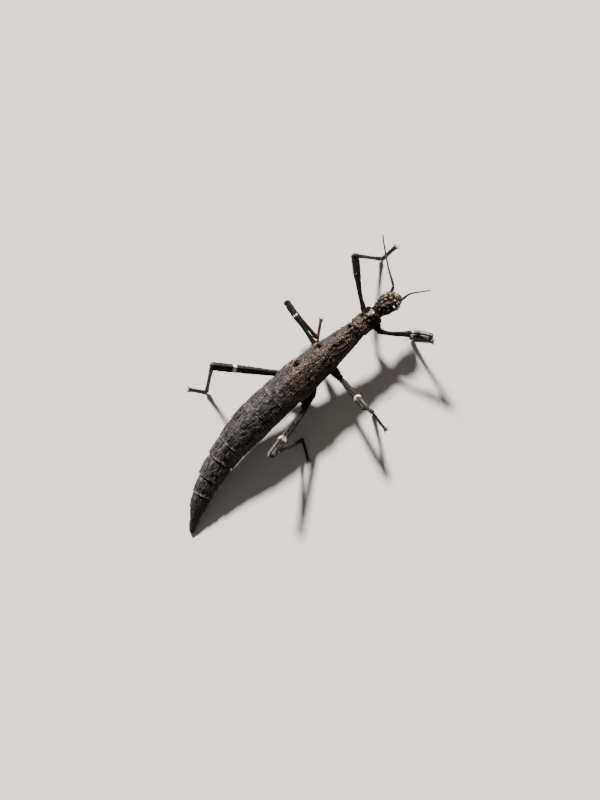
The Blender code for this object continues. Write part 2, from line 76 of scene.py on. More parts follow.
def softNoise(points, size, seed):  # between -1 and 1, with lumps about as wide as size
    scaled = [axis / size for axis in points]
    cell = [np.floor(axis).astype(np.int64) for axis in scaled]
    part = [smoothStep(0.0, 1.0, axis - floor) for axis, floor in zip(scaled, cell)]
    total = 0.0
    for corner in itertools.product((0, 1), repeat=3):
        weight = 1.0
        for axis, step in zip(part, corner):
            weight = weight * (axis if step else 1.0 - axis)
        total = total + weight * latticeValue([floor + step for floor, step in zip(cell, corner)], seed)
    return total * 2.0 - 1.0


def cellNoise(points, size, seed):  # nearest and second distance to a cell's middle, and the cell's number
    scaled = [axis / size for axis in points]
    cell = [np.floor(axis).astype(np.int64) for axis in scaled]
    nearest = np.full(scaled[0].shape, 9.0)
    second = np.full(scaled[0].shape, 9.0)
    number = np.zeros(scaled[0].shape)
    for corner in itertools.product((-1, 0, 1), repeat=3):
        near = [floor + step for floor, step in zip(cell, corner)]
        away = [scaled[k] - near[k] - latticeValue(near, seed + k) for k in range(3)]
        distance = np.sqrt(sum(gap * gap for gap in away))
        closer = distance < nearest
        second = np.where(closer, nearest, np.minimum(second, distance))
        number = np.where(closer, latticeValue(near, seed + 3), number)
        nearest = np.where(closer, distance, nearest)
    return nearest, second, number


def domes(nearest, size):  # a round cap on each cell
    return np.clip(1 - (nearest / size) ** 2, 0, 1)


def unit(vector):
    return vector / np.linalg.norm(vector)


def alongRun(points):  # the way that a run of points heads at each of them
    along = np.gradient(points, axis=0)
    return along / np.linalg.norm(along, axis=1)[:, None]


def turns(sides):
    return (np.arange(sides) * 2 * np.pi / sides)[None, :]


def smoothRun(knots, count):  # rows of numbers on a smooth curve through the knots
    knots = np.asarray(knots, float)
    padded = np.vstack((knots[0] * 2 - knots[1], knots, knots[-1] * 2 - knots[-2]))
    spots = np.linspace(0, len(knots) - 1, count)
    span = np.minimum(spots.astype(int), len(knots) - 2)
    t = (spots - span)[:, None]
    a, b, c, d = (padded[span + k] for k in range(4))
    return (b * 2 + (c - a) * t + (a * 2 - b * 5 + c * 4 - d) * t**2 + (b * 3 - a - c * 3 + d) * t**3) / 2


def tableAt(table, shares):
    run = smoothRun(table, 240)
    return np.interp(shares, run[:, 0], run[:, 1])


# The trunk's line, in millimetres: s is the distance behind the front of the head

trunkLine = {
    "hipAt": 39.6,
    "hipPoint": (0.0, -10.0, 11.4),
    "tailEnd": 98.2,
    "headEnd": 7.5,
    "headTurn": -4.0,
    "thoraxYaw": -1.0,
    "thoraxPitch": 3.0,
    "tailBend": 38.9,
    "tailDroop": 15.8,
    "step": 0.02,
}


def headingAt(s):  # unit vectors backwards, to the right and upwards
    line = trunkLine
    bend = np.clip((s - line["hipAt"]) / (line["tailEnd"] - line["hipAt"]), 0.0, 1.0)
    turned = 1.0 - smoothStep(line["headEnd"] - 0.3, line["headEnd"] + 0.3, s)
    yaw = np.radians(line["thoraxYaw"] + line["tailBend"] * bend**2 + line["headTurn"] * turned)
    pitch = np.radians(line["thoraxPitch"] + line["tailDroop"] * bend)
    back = np.stack((np.sin(yaw) * np.cos(pitch), -np.cos(yaw) * np.cos(pitch), -np.sin(pitch)), -1)
    right = np.stack((np.cos(yaw), np.sin(yaw), np.zeros_like(yaw)), -1)
    return back, right, np.cross(back, -right) * -1.0


lineStations = np.arange(-10.0, 100.0, trunkLine["step"])
lineSteps = headingAt(lineStations[:-1] + trunkLine["step"] / 2)[0] * trunkLine["step"]
linePoints = np.vstack((np.zeros(3), np.cumsum(lineSteps, axis=0)))


def trunkPoint(s):
    return np.stack([np.interp(s, lineStations, linePoints[:, axis]) for axis in range(3)], -1)


linePoints += np.array(trunkLine["hipPoint"]) - trunkPoint(trunkLine["hipAt"])


def onTrunk(s, side, height):
    _, right, up = headingAt(np.asarray(float(s)))
    return trunkPoint(float(s)) + right * side + up * height


# The model's frame is set by the left eye, whose middle is known in both
eye = {"at": 2.5, "side": 2.72, "height": 0.55, "radius": 0.80}
eyeLow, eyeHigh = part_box("eye_left")
shift = np.array((eyeLow + eyeHigh) / 2) / mm - onTrunk(eye["at"], -eye["side"], eye["height"])
print("frame shift", shift.round(3))


# Skins: a closed grid of rings, with its own map and marks


def linkedObject(name, data):
    made = bpy.data.objects.new(name, data)
    bpy.context.scene.collection.objects.link(made)
    return made


def coneVolume(vertices, faces):  # six times the volume between the origin and the faces
    spot = vertices[faces]
    pairs = range(1, faces.shape[1] - 1)
    return sum(np.einsum("ij,ij->", spot[:, 0], np.cross(spot[:, k], spot[:, k + 1])) for k in pairs)


def gridObject(name, rings, marks, material, lie=None):
    count, sides = rings.shape[:2]
    ends = np.stack((rings[0].mean(0), rings[-1].mean(0)))
    vertices = (np.vstack((rings.reshape(-1, 3), ends)) + shift) * mm
    i, j = np.meshgrid(np.arange(count - 1), np.arange(sides), indexing="ij")
    corners = ((0, 0), (0, 1), (1, 1), (1, 0))
    quads = np.stack([(i + down) * sides + (j + on) % sides for down, on in corners], -1)
    spots = [np.stack(((j + on) / sides, (i + down) / (count - 1)), -1) for down, on in corners]
    faces, maps = [quads.reshape(-1, 4)], [np.stack(spots, -2).reshape(-1, 4, 2)]
    around = np.arange(sides)
    for end, order in enumerate(((1, 0), (0, 1))):  # a fan closes each end
        steps = [around + on for on in order]
        rim = [end * (count - 1) * sides + step % sides for step in steps]
        faces.append(np.stack((np.full(sides, count * sides + end), *rim), -1))
        spots = [np.stack((step / sides, 0 * around + end), -1) for step in (around + 0.5, *steps)]
        maps.append(np.stack(spots, 1))
    if sum(coneVolume(vertices, part) for part in faces) < 0:
        faces, maps = [part[:, ::-1] for part in faces], [part[:, ::-1] for part in maps]
    data = bpy.data.meshes.new(name)
    data.from_pydata(vertices.tolist(), [], [face for part in faces for face in part.tolist()])
    layer = data.uv_layers.new(name=skinMap)
    layer.data.foreach_set("uv", np.concatenate([part.ravel() for part in maps]))
    for mark, values in marks.items():
        whole = np.concatenate((values.ravel(), (values[0].mean(), values[-1].mean())))
        data.attributes.new(mark, "FLOAT", "POINT").data.foreach_set("value", whole.astype(np.float32))
    if lie is not None:  # the way that bristles lie on each ring
        whole = np.vstack((np.repeat(lie, sides, axis=0), lie[:1], lie[-1:]))
        data.attributes.new("lie", "FLOAT_VECTOR", "POINT").data.foreach_set("vector", whole.ravel())
    data.shade_smooth()
    data.materials.append(material)
    return linkedObject(name, data)


def joinedObject(name, parts):
    for other in bpy.context.selected_objects:
        other.select_set(False)
    for part in parts:
        part.select_set(True)
    bpy.context.view_layer.objects.active = parts[0]
    bpy.ops.object.join()
    parts[0].name = name
    parts[0].data.name = name
    return parts[0]


def tubeRings(points, radius, turn):  # rings round a run of points, radius in rows or as a grid
    along = alongRun(points)
    right = np.cross(along, upward)
    right /= np.linalg.norm(right, axis=1)[:, None]
    up = np.cross(right, along)
    rings = points[:, None] + right[:, None] * (np.cos(turn) * radius)[..., None]
    return rings + up[:, None] * (np.sin(turn) * radius)[..., None]


# Materials


def addNode(tree, kind, inputs=None, **settings):
    made = tree.nodes.new(kind)
    for key, value in settings.items():
        setattr(made, key, value)
    for key, value in (inputs or {}).items():
        if isinstance(value, bpy.types.NodeSocket):
            tree.links.new(value, made.inputs[key])
        else:
            made.inputs[key].default_value = value
    return made


def combine(kind, first, second):
    return addNode(first.id_data, "ShaderNodeMath", {0: first, 1: second}, operation=kind).outputs[0]


def times(first, second):
    return combine("MULTIPLY", first, second)


def mixColours(factor, first, second):
    inputs = {0: factor}
    for key, shade in ((6, first), (7, second)):
        inputs[key] = shade if isinstance(shade, bpy.types.NodeSocket) else (*shade, 1.0)
    return addNode(factor.id_data, "ShaderNodeMix", inputs, data_type="RGBA").outputs[2]


def layered(colour, look, *layers):  # each layer is a mask and the name of the colour it lays on
    for mask, name in layers:
        colour = mixColours(mask, colour, look[name])
    return colour


def spread(value, low, high, out=(0.0, 1.0)):
    inputs = {"Value": value, "From Min": low, "From Max": high, "To Min": out[0], "To Max": out[1]}
    return addNode(value.id_data, "ShaderNodeMapRange", inputs, clamp=True).outputs["Result"]


def noiseNode(place, size, detail=3.0, roughness=0.55):
    inputs = {"Vector": place, "Scale": 1.0 / (size * mm), "Detail": detail, "Roughness": roughness}
    return addNode(place.id_data, "ShaderNodeTexNoise", inputs).outputs["Fac"]


def cellNode(place, size):
    inputs = {"Vector": place, "Scale": 1.0 / (size * mm)}
    return addNode(place.id_data, "ShaderNodeTexVoronoi", inputs).outputs["Distance"]


def startMaterial(name, specular=0.5):
    made = bpy.data.materials.new(name)
    made.use_nodes = True
    tree = made.node_tree
    tree.nodes["Principled BSDF"].inputs["Specular IOR Level"].default_value = specular

    def mark(name):
        return addNode(tree, "ShaderNodeAttribute", attribute_name=name).outputs["Fac"]

    return made, addNode(tree, "ShaderNodeTexCoord").outputs["Object"], mark


def finishMaterial(made, colour, roughness, heights):
    tree = made.node_tree
    bent = {}
    for height, depth in heights:
        inputs = {"Height": height, "Strength": 1.0, "Distance": depth * mm, **bent}
        bent = {"Normal": addNode(tree, "ShaderNodeBump", inputs).outputs["Normal"]}
    for key, value in {"Base Color": colour, "Roughness": roughness, **bent}.items():
        tree.links.new(value, tree.nodes["Principled BSDF"].inputs[key])
    return made


barkLook = {
    "dark": (0.012, 0.0080, 0.0075),
    "grey": (0.046, 0.0425, 0.0435),
    # a painted bluish sheen
    "paintedBlueSheen": (0.077, 0.080, 0.090),
    "flank": (0.036, 0.037, 0.042),
    "rough": (0.124, 0.084, 0.066),
    "crumb": (0.265, 0.198, 0.158),
    "chalk": (0.50, 0.41, 0.33),
    "collar": (0.74, 0.62, 0.51),
    "straw": (0.42, 0.30, 0.17),
    "pit": (0.006, 0.0035, 0.003),
    # dark colour of the tail and the thorns, also laid as painted shade on the right side
    "tail": (0.017, 0.0110, 0.0095),
}


def barkMaterial():
    made, place, mark = startMaterial("barkCuticle", specular=0.10)
    streaks, patches = noiseNode(place, 0.9, 4.0, 0.65), noiseNode(place, 2.4)
    grain = noiseNode(place, 0.16, 2.0)
    crumbs = cellNode(place, 0.36)  # a crust of fine grains, thickest where the skin is rough
    relief, rough, flank = mark("relief"), mark("rough"), mark("flank")
    raised = combine("ADD", times(relief, 0.16), streaks)
    crust = spread(rough, 0.0, 1.0, (0.45, 1.0))
    caps = times(spread(crumbs, 0.30, 0.12), spread(patches, 0.44, 0.60, (0.1, 0.8)))
    dull = spread(relief, -0.15, -0.80)  # pits, and the shade painted into the relief mark, are black and hardly shine
    tips = times(spread(relief, 0.45, 1.0), mark("chalky"))
    colour = layered(
        mixColours(spread(raised, 0.34, 0.62), barkLook["dark"], barkLook["grey"]),
        barkLook,
        # a painted bluish sheen on the raised patches of the plates
        (times(spread(patches, 0.46, 0.66), spread(relief, -0.1, 0.5)), "paintedBlueSheen"),
        (times(flank, spread(raised, 0.30, 0.60, (0.45, 1.0))), "flank"),
        (times(rough, spread(raised, 0.32, 0.62, (0.15, 1.0))), "rough"),
        (times(mark("straw"), spread(streaks, 0.42, 0.58)), "straw"),
        (mark("collar"), "collar"),
        (times(times(spread(crumbs, 0.40, 0.66), crust), 0.85), "dark"),
        (times(caps, rough), "crumb"),
        (times(spread(cellNode(place, 1.25), 0.17, 0.11), flank), "pit"),
        (spread(cellNode(place, 0.75), 0.13, 0.05, (0.0, 0.40)), "chalk"),
        (dull, "pit"),
        (times(tips, spread(patches, 0.40, 0.60)), "chalk"),
        # the tail mark darkens the tail and the thorns, and paints shade on the right side
        (times(mark("tail"), spread(streaks, 0.35, 0.70, (1.0, 0.72))), "tail"),
        (mark("rim"), "collar"),
    )
    roughness = combine("MAXIMUM", spread(grain, 0.3, 0.7, (0.42, 0.75)), dull)
    swollen = times(spread(crumbs, 0.66, 0.0), crust)
    return finishMaterial(made, colour, roughness, ((swollen, 0.17), (grain, 0.05), (streaks, 0.16)))


limbLook = {
    "dark": (0.0065, 0.0042, 0.0036),
    "stripe": (0.098, 0.086, 0.080),
    # painted sheen lines along the limbs
    "paintedSheenLine": (0.46, 0.48, 0.50),
    "edge": (0.005, 0.003, 0.0025),
    "cream": (0.76, 0.65, 0.53),
    "shin": (0.036, 0.021, 0.015),
    "rust": (0.21, 0.085, 0.035),
    "hip": (0.006, 0.0036, 0.003),
    "foot": (0.032, 0.020, 0.016),
}


def limbMaterial():
    made, place, mark = startMaterial("limbCuticle", specular=0.06)
    streaks, grain = noiseNode(place, 0.8, 4.0, 0.65), noiseNode(place, 0.12, 2.0)
    fibres = spread(streaks, 0.34, 0.60, (0.25, 1.0))
    colour = layered(
        mixColours(times(spread(streaks, 0.36, 0.60), mark("pale")), limbLook["dark"], limbLook["stripe"]),
        limbLook,
        *((times(mark(part), fibres), part) for part in ("hip", "shin", "foot")),
        (times(mark("rust"), spread(streaks, 0.34, 0.54, (0.35, 1.0))), "rust"),
        (mark("edge"), "edge"),
        (spread(mark("relief"), -0.2, -1.0), "edge"),
        (mark("paintedSheenLine"), "paintedSheenLine"),
        (mark("cream"), "cream"),
    )
    roughness = combine("MAXIMUM", spread(grain, 0.3, 0.7, (0.40, 0.68)), mark("hip"))
    return finishMaterial(made, colour, roughness, ((grain, 0.03), (streaks, 0.08)))


antennaLook = {"dark": (0.012, 0.006, 0.005), "red": (0.056, 0.021, 0.015), "pale": (0.17, 0.11, 0.075)}


def antennaMaterial():
    made, place, mark = startMaterial("antennaCuticle")
    streaks, grain = noiseNode(place, 0.5), noiseNode(place, 0.08, 2.0)
    colour = mixColours(spread(streaks, 0.3, 0.65), antennaLook["dark"], antennaLook["red"])
    colour = layered(colour, antennaLook, (mark("scape"), "dark"), (mark("pale"), "pale"))
    roughness = spread(grain, 0.3, 0.7, (0.3, 0.55))
    return finishMaterial(made, colour, roughness, ((grain, 0.02), (streaks, 0.04)))


eyeLook = {"ground": (0.110, 0.070, 0.035), "stripe": (0.018, 0.010, 0.007), "facet": 0.055}


def eyeMaterial():
    made, place, _ = startMaterial("eyeGloss")
    for key, value in (("Coat Weight", 0.6), ("Coat Roughness", 0.08)):
        made.node_tree.nodes["Principled BSDF"].inputs[key].default_value = value
    mottle, facets = noiseNode(place, 0.45), cellNode(place, eyeLook["facet"])
    colour = mixColours(spread(mottle, 0.42, 0.58), eyeLook["stripe"], eyeLook["ground"])
    roughness = spread(mottle, 0.3, 0.7, (0.16, 0.30))
    return finishMaterial(made, colour, roughness, ((facets, 0.012), (mottle, 0.01)))


hornLook = {"root": (0.060, 0.036, 0.026), "tip": (0.012, 0.008, 0.007)}


def hornMaterial():
    made, place, _ = startMaterial("clawHorn")
    streaks, grain = noiseNode(place, 0.3), noiseNode(place, 0.07, 2.0)
    colour = mixColours(spread(streaks, 0.35, 0.65), hornLook["tip"], hornLook["root"])
    roughness = spread(grain, 0.3, 0.7, (0.2, 0.42))
    return finishMaterial(made, colour, roughness, ((grain, 0.015), (streaks, 0.03)))


granuleLook = {
    "shade": (0.018, 0.0115, 0.0095),
    "dark": (0.026, 0.0165, 0.013),
    "grey": (0.082, 0.073, 0.071),
    "brown": (0.168, 0.120, 0.098),
    "chalk": (0.42, 0.34, 0.27),
}


def granuleMaterial():
    made, place, mark = startMaterial("granuleChalk", specular=0.2)
    patches, grain, tone = noiseNode(place, 1.1, 2.0), noiseNode(place, 0.09, 2.0), mark("tone")
    base = mixColours(mark("rough"), granuleLook["grey"], granuleLook["brown"])
    pale = times(spread(tone, 0.62, 0.92), spread(patches, 0.40, 0.56))
    colour = layered(
        mixColours(spread(tone, 0.10, 0.55), granuleLook["dark"], base),
        granuleLook,
        # the tail mark darkens grains on the tail, and paints shade on grains on the right side
        (times(mark("tail"), 0.95), "shade"),
        (times(pale, mark("chalky")), "chalk"),
    )
    roughness = spread(grain, 0.3, 0.7, (0.42, 0.72))
    return finishMaterial(made, colour, roughness, ((grain, 0.03), (patches, 0.05)))


bark = barkMaterial()
limbShell = limbMaterial()
antennaShell = antennaMaterial()
eyeGloss = eyeMaterial()
clawHorn = hornMaterial()
granuleChalk = granuleMaterial()
print("materials ready")


# Body skin

bodyForm = {
    "head": (7.5, 6.5, 5.4),  # length, width, height
    "headProfile": (
        (0.0, 0.40, 0.46, -0.60),
        (0.07, 0.64, 0.68, -0.42),
        (0.20, 0.86, 0.88, -0.18),
        (0.38, 1.0, 0.98, 0.0),
        (0.58, 0.98, 1.0, 0.06),
        (0.80, 0.87, 0.88, 0.04),
        (1.0, 0.72, 0.74, 0.0),
    ),
    # length, then (width, height) at the front, the middle and the rear
    "rings": (
        (1.0, (4.6, 4.2), (4.3, 4.0), (4.6, 4.2)),
        (7.1, (5.7, 5.0), (6.5, 5.6), (6.1, 5.4)),
        (14.6, (6.0, 5.4), (8.3, 6.8), (10.3, 8.2)),
        (9.8, (10.3, 8.2), (11.1, 8.7), (12.7, 9.1)),
        (3.4, (12.6, 9.1), (12.1, 9.1), (11.6, 9.1)),
        (4.9, (11.3, 9.1), (11.6, 9.3), (11.7, 9.4)),
        (6.4, (11.5, 9.3), (11.9, 9.6), (12.0, 9.7)),
        (6.8, (11.8, 9.6), (12.0, 9.8), (11.6, 9.5)),
        (6.2, (11.4, 9.4), (10.9, 9.0), (10.2, 8.4)),
        (5.6, (9.9, 8.2), (9.6, 8.0), (9.2, 7.6)),
        (6.6, (8.3, 7.0), (8.6, 7.0), (8.1, 6.5)),
        (5.6, (7.2, 6.0), (6.9, 5.7), (6.7, 5.2)),
        (4.8, (6.2, 5.0), (5.8, 4.6), (5.1, 4.1)),
        (6.0, (4.7, 3.9), (3.7, 3.2), (2.0, 2.2)),
    ),
    "tip": (1.0, 1.5),
    "keel": 0.10,
    "belly": 0.90,
    "inset": 0.12,  # the skin lies this far inside the solids, apart from its grain
    "ringStep": 0.18,
    "jointGap": 0.03,  # the last ring of each part lies this close to its joint
    "sides": 168,
}


def through(front, middle, rear, share):
    ease = ((1 - share) * (1 - 2 * share), 4 * share * (1 - share), share * (2 * share - 1))
    return [a * ease[0] + b * ease[1] + c * ease[2] for a, b, c in zip(front, middle, rear)]


def bodyStations():  # distance, width, height and drop of each ring of the skin
    length, wide, tall = bodyForm["head"]
    run = smoothRun(bodyForm["headProfile"], 300)
    rows = []
    for s in np.arange(0.0, length - 0.05, bodyForm["ringStep"]):
        share, w, h, drop = (np.interp(s / length, run[:, 0], run[:, k]) for k in range(4))
        rows.append((s, w * wide, h * tall, drop))
    start = length
    for ringLength, *sections in bodyForm["rings"]:
        shares = np.linspace(0.0, 1.0, max(5, round(ringLength / bodyForm["ringStep"])))
        shares[0], shares[-1] = bodyForm["jointGap"] / ringLength, 1 - bodyForm["jointGap"] / ringLength
        rows += [(start + ringLength * share, *through(*sections, share), 0.0) for share in shares]
        start += ringLength
    (lastWidth, lastHeight), (tipWidth, tipHeight) = sections[-1], bodyForm["tip"]
    for share in np.linspace(0.0, 1.0, 16)[1:]:
        blunt = math.sqrt(max(0.0, 1 - max(0.0, (share - 0.7) / 0.3) ** 2.4))
        w = (lastWidth + (tipWidth - lastWidth) * share) * max(blunt, 0.15)
        h = (lastHeight + (tipHeight - lastHeight) * share) * max(blunt, 0.35)
        rows.append((start + (trunkLine["tailEnd"] - start) * share, w, h, -0.25 * (1 - blunt)))
    face = rows[0]
    for share in (0.45, 0.8, 0.96):  # the rounded front of the face
        shrunk = math.sqrt(1 - share**2)
        rows.insert(0, (-0.45 * share, face[1] * shrunk, face[2] * shrunk, face[3]))
    return np.array(rows)


stations = bodyStations()


def sectionAt(s):  # width and height
    return [float(np.interp(s, stations[:, 0], stations[:, k])) for k in (1, 2)]


headForm = {
    # distance behind the front, degrees from the midline, height, width and paleness, on both sides
    "knobs": (
        (0.6, 10, 0.40, 0.50, 0.18),
        (0.9, 56, 0.38, 0.38, 0.5),
        (1.8, 25, 0.75, 0.44, 0.12),
        (2.4, 3, 0.30, 0.42, 0.12),
        (2.3, 59, 0.32, 0.30, 1.0),
        (3.2, 48, 0.85, 0.40, 1.0),
        (3.4, 27, 0.30, 0.46, 0.0),
        (4.1, 10, 0.42, 0.46, 0.15),
        (4.6, 32, 0.34, 0.50, 0.0),
        (4.6, 68, 0.40, 0.34, 0.1),
        (5.1, 50, 0.75, 0.42, 0.1),
        (5.5, 10, 0.32, 0.50, 0.15),
        (6.3, 30, 0.40, 0.40, 0.0),
        (6.0, 74, 0.50, 0.30, 0.0),
        (6.9, 58, 0.62, 0.34, 0.1),
        (7.0, 14, 0.30, 0.40, 0.1),
    ),
    # the same without paleness: dark hollows, their depth and width
    "hollows": (
        (3.2, 8, 0.30, 0.34),
        (5.6, 24, 0.30, 0.42),
        (4.2, 54, 0.25, 0.36),
        (1.4, 10, 0.22, 0.30),
        (6.5, 30, 0.2, 0.3),
    ),
    "socket": 0.30,  # height of the rim round each eye
}
jointForm = {
    # distance behind the front: lip, step in behind it, how pale the rim is, and how dark the step
    7.5: (0.00, 0.10, 0.0, 0.3),
    8.5: (0.00, 0.22, 0.0, 0.7),
    15.6: (0.16, 0.26, 0.35, 0.25),
    30.2: (0.04, 0.06, 0.0, 0.15),
    40.0: (0.04, 0.06, 0.0, 0.15),
    43.4: (0.03, 0.04, 0.05, 0.1),
    48.3: (0.05, 0.06, 0.18, 0.25),
    54.7: (0.05, 0.06, 0.14, 0.20),
    61.5: (0.05, 0.06, 0.08, 0.15),
    67.7: (0.10, 0.12, 0.55, 0.35),
    73.3: (0.17, 0.30, 0.32, 0.95),
    79.9: (0.17, 0.30, 0.32, 0.95),
    85.5: (0.12, 0.18, 0.85, 0.5),
    90.3: (0.05, 0.06, 0.05, 0.2),
    96.3: (0.03, 0.02, 0.0, 0.0),
}
lobeForm = {
    # place and half length of the rough patch above each pair of hips
    "patches": ((28.9, 2.0, 1.0), (37.4, 2.8, 1.0), (12.6, 3.0, 0.8)),
    # granular bosses: place, degrees from the midline, height and width
    "bosses": ((28.4, 50, 0.55, 1.15), (36.4, 52, 0.50, 1.35), (14.6, 34, 0.25, 0.9), (8.9, 24, 0.30, 0.7)),
}
thornForm = {
    # distance behind the front, distance from the midline, height
    "back": ((11.9, 1.5, 1.0), (16.9, 1.3, 1.3), (27.6, 2.6, 1.6), (36.1, 2.8, 1.7)),
    "width": 1.5,
    "root": 0.7,
    "sideFirst": 19.2,
    "sideLast": 35.6,
    "sideStep": 1.5,
    "sideHeight": 0.62,
    "sideWidth": 0.8,
}
reliefForm = {
    # size of each kind of relief
    "plate": 0.80,
    "furrow": 0.45,
    "crack": 0.90,
    "scree": 0.27,
    "grain": 0.58,
    "fine": 0.33,
    "ridge": 0.85,
    "crease": 0.75,
    # how high it stands on the abdomen
    "plateHeight": 0.070,
    "furrowHeight": 0.100,
    "screeHeight": 0.050,
    "crackDepth": 0.10,
    "swellHeight": 0.060,
    # how strongly shade is painted on the right side
    "paintedShadeRight": 0.95,
    "abdomenPaintedShade": 0.6,
}


def bodySkin():
    angle = turns(bodyForm["sides"]) - np.pi / 2
    s, w, h, drop = (stations[:, k][:, None] + 0 * angle for k in range(4))
    offTop = np.degrees(np.abs((angle - np.pi / 2 + np.pi) % (2 * np.pi) - np.pi)) + 0 * s
    x = np.cos(angle) * w / 2
    y = np.sin(angle) * h / 2 + bodyForm["keel"] * h / 2 * hump(offTop, 0, 22)
    y = np.where(y < 0, y * bodyForm["belly"], y)
    normal = np.array((np.cos(angle) / w, np.sin(angle) / h))
    nx, ny = normal / np.linalg.norm(normal, axis=0)
    onBack = 1 - smoothStep(80, 115, offTop)

    def noise(size, seed, flatten=1.0):  # lumps, drawn out along the body where flatten is small
        return softNoise([x, y, s * flatten], size, seed)

    def awayFrom(at, aside, sign):  # how far each point is from a place on the skin
        arc = np.radians(90 - sign * aside)
        over = (np.cos(angle) - np.cos(arc)) * w / 2
        rise = (np.sin(angle) - np.sin(arc)) * h / 2
        return np.sqrt((s - at) ** 2 + over**2 + rise**2)

    def bothSides(places, lag=0.0, lean=0):  # the same places left and right, with what belongs to each
        for at, aside, *rest in places:
            for sign in (-1, 1):
                yield awayFrom(at + lag * sign, aside + lean * sign, sign), *rest

    # which part of the body each point belongs to
    head = 1 - smoothStep(7.2, 7.8, s)
    collar = between(s, 8.3, 8.6, 9.8, 11.0)
    thorax = between(s, 8.3, 9.0, 41.0, 45.5)
    abdomen = smoothStep(39.5, 43.5, s)
    tail = smoothStep(85.3, 85.9, s) * (0.45 + 0.55 * smoothStep(86.0, 90.0, s + 3 * noise(1.4, 8)))
    rightHalf = smoothStep(-0.12, 0.12, np.cos(angle)) + 0 * s
    lobes = np.clip(sum(share * hump(s, at, half) for at, half, share in lobeForm["patches"]), 0, 1)
    reach = (19 + 54 * lobes) * (1 - rightHalf) + 96 * rightHalf - 16 * smoothStep(38.5, 44.0, s)
    warp = noise(1.8, 5) * 11 + noise(0.7, 6) * 7
    rough = thorax * (1 - smoothStep(reach - 9, reach + 9, offTop + warp))
    flank = thorax * (1 - rough) * (1 - smoothStep(95, 125, offTop)) * (1 - 0.7 * rightHalf)
    hem = thorax * hump(offTop, 86, 10) * (0.3 + 0.7 * rightHalf)  # granular lower edge of the flank
    bare = (1 - head) * (1 - rough) * (1 - flank) * (1 - abdomen)

    # rough plates of the abdomen, drawn out along the body, with furrows and pits between them
    sizes = reliefForm
    sway = 0.55 * noise(1.7, 11) + 0.22 * noise(0.6, 13), 0.55 * noise(1.7, 12)
    nearest, second, number = cellNoise([x + sway[0], y + sway[1], s * 0.55], sizes["plate"], 20)
    plates = smoothStep(0.02, 0.40, second - nearest) * (0.45 + 0.9 * number) - 0.55
    furrows = softNoise([x + 0.6 * sway[0], y + 0.6 * sway[1], s * 0.22], sizes["furrow"], 31)
    furrows = 1 - np.abs(furrows) * 2.2
    cracks = hump(softNoise([x + sway[0], y + sway[1], s * 0.32], sizes["crack"], 34), 0, 0.12)
    cracks = cracks * smoothStep(-0.25, 0.25, noise(1.3, 35))
    barkGrain = sizes["plateHeight"] * plates + sizes["furrowHeight"] * furrows
    barkGrain = barkGrain + sizes["screeHeight"] * noise(sizes["scree"], 32) - sizes["crackDepth"] * cracks
    barkHeight = (barkGrain + sizes["swellHeight"] * noise(1.9, 33, 0.7)) * (0.45 + 0.55 * onBack)

    # grains of the head and along the middle of the thorax
    nearGrain, _, grainNumber = cellNoise([x, y, s * 0.85], sizes["grain"], 40)
    grains = domes(nearGrain, 0.54) * (0.3 + 1.0 * grainNumber)
    nearFine, _, fineNumber = cellNoise([x, y, s], sizes["fine"], 50)
    fine = domes(nearFine, 0.5) * (0.3 + fineNumber)
    lumps = noise(1.5, 60, 0.8)
    ridges = softNoise([x + 0.4 * lumps, y + 0.3 * noise(0.8, 62), s * 0.34], sizes["ridge"], 61)
    ridges = hump(ridges, 0, 0.24)
    grainHeight = 0.11 * grains + 0.08 * fine + 0.20 * ridges + 0.12 * lumps - 0.14
    grainMark = 0.60 * grains + 0.40 * fine + 0.85 * ridges + 0.20 * lumps - 0.62
    creases = hump(softNoise([x, y + 0.3 * lumps, s * 0.22], sizes["crease"], 63), 0, 0.13)
    creases = creases * smoothStep(-0.3, 0.3, lumps)
    flankHeight = 0.05 * fine + 0.04 * furrows + 0.06 * lumps - 0.13 * creases
    flankHeight = flankHeight + grains * (0.15 * (grainNumber > 0.80) + 0.22 * hem)
    flankMark = 0.35 * fine + 0.30 * furrows - 0.9 * creases - 0.10

    detail = barkHeight * abdomen * (1 - 0.35 * tail) * (1 - 0.8 * rough)
    detail += grainHeight * rough + flankHeight * np.clip(flank + 0.6 * bare, 0, 1) * (1 - abdomen)
    detail += head * (grainHeight + 0.12 * grains - 0.14 * ridges) * (0.35 + 1.0 * onBack)
    relief = (barkGrain / 0.15 - 0.02) * abdomen * (1 - rough) * (1 - flank)
    relief += grainMark * np.clip(rough + head, 0, 1) + flankMark * np.clip(flank + bare, 0, 1)
    relief += head * (0.55 * grains - 0.25 * ridges - 0.12)

    # bosses beside the midline, and the folds between back, flank and belly
    form = -0.08 * thorax * hump(offTop, 24, 9) + 0.16 * thorax * hump(offTop, 0, 8) * (1 - collar)
    form -= (thorax + abdomen) * (0.10 * hump(offTop, 98, 5) + 0.08 * hump(offTop, 140, 6))
    bosses = 0 * s
    for away, height, width in bothSides(lobeForm["bosses"]):
        boss = smoothStep(1.25, 0.55, away / width)
        form += height * boss
        bosses += boss

    # the back plate of the first ring: a raised collar, a waist across and a fine line along
    onFirst = between(s, 8.4, 8.8, 15.2, 15.6) * onBack
    form += onFirst * (0.38 * hump(s, 9.2, 0.55) + 0.22 * hump(s, 14.9, 0.45) - 0.30 * hump(s, 11.3, 0.40))
    form -= onFirst * 0.14 * hump(offTop, 0, 4.0)
    shade = 0.5 * onFirst * hump(s, 11.3, 0.30) + 0.95 * hump(s, 7.9, 0.50)
    shade += 1.3 * hump(s, 10.5, 1.6) * smoothStep(13, 21, offTop + 0.5 * warp) * (s > 8.4)
    # a painted shadow behind the rear rim of the first ring, near the middle of the back
    shade += 0.9 * hump(s, 16.2, 0.32) * hump(offTop + 0.5 * warp, 8, 17)

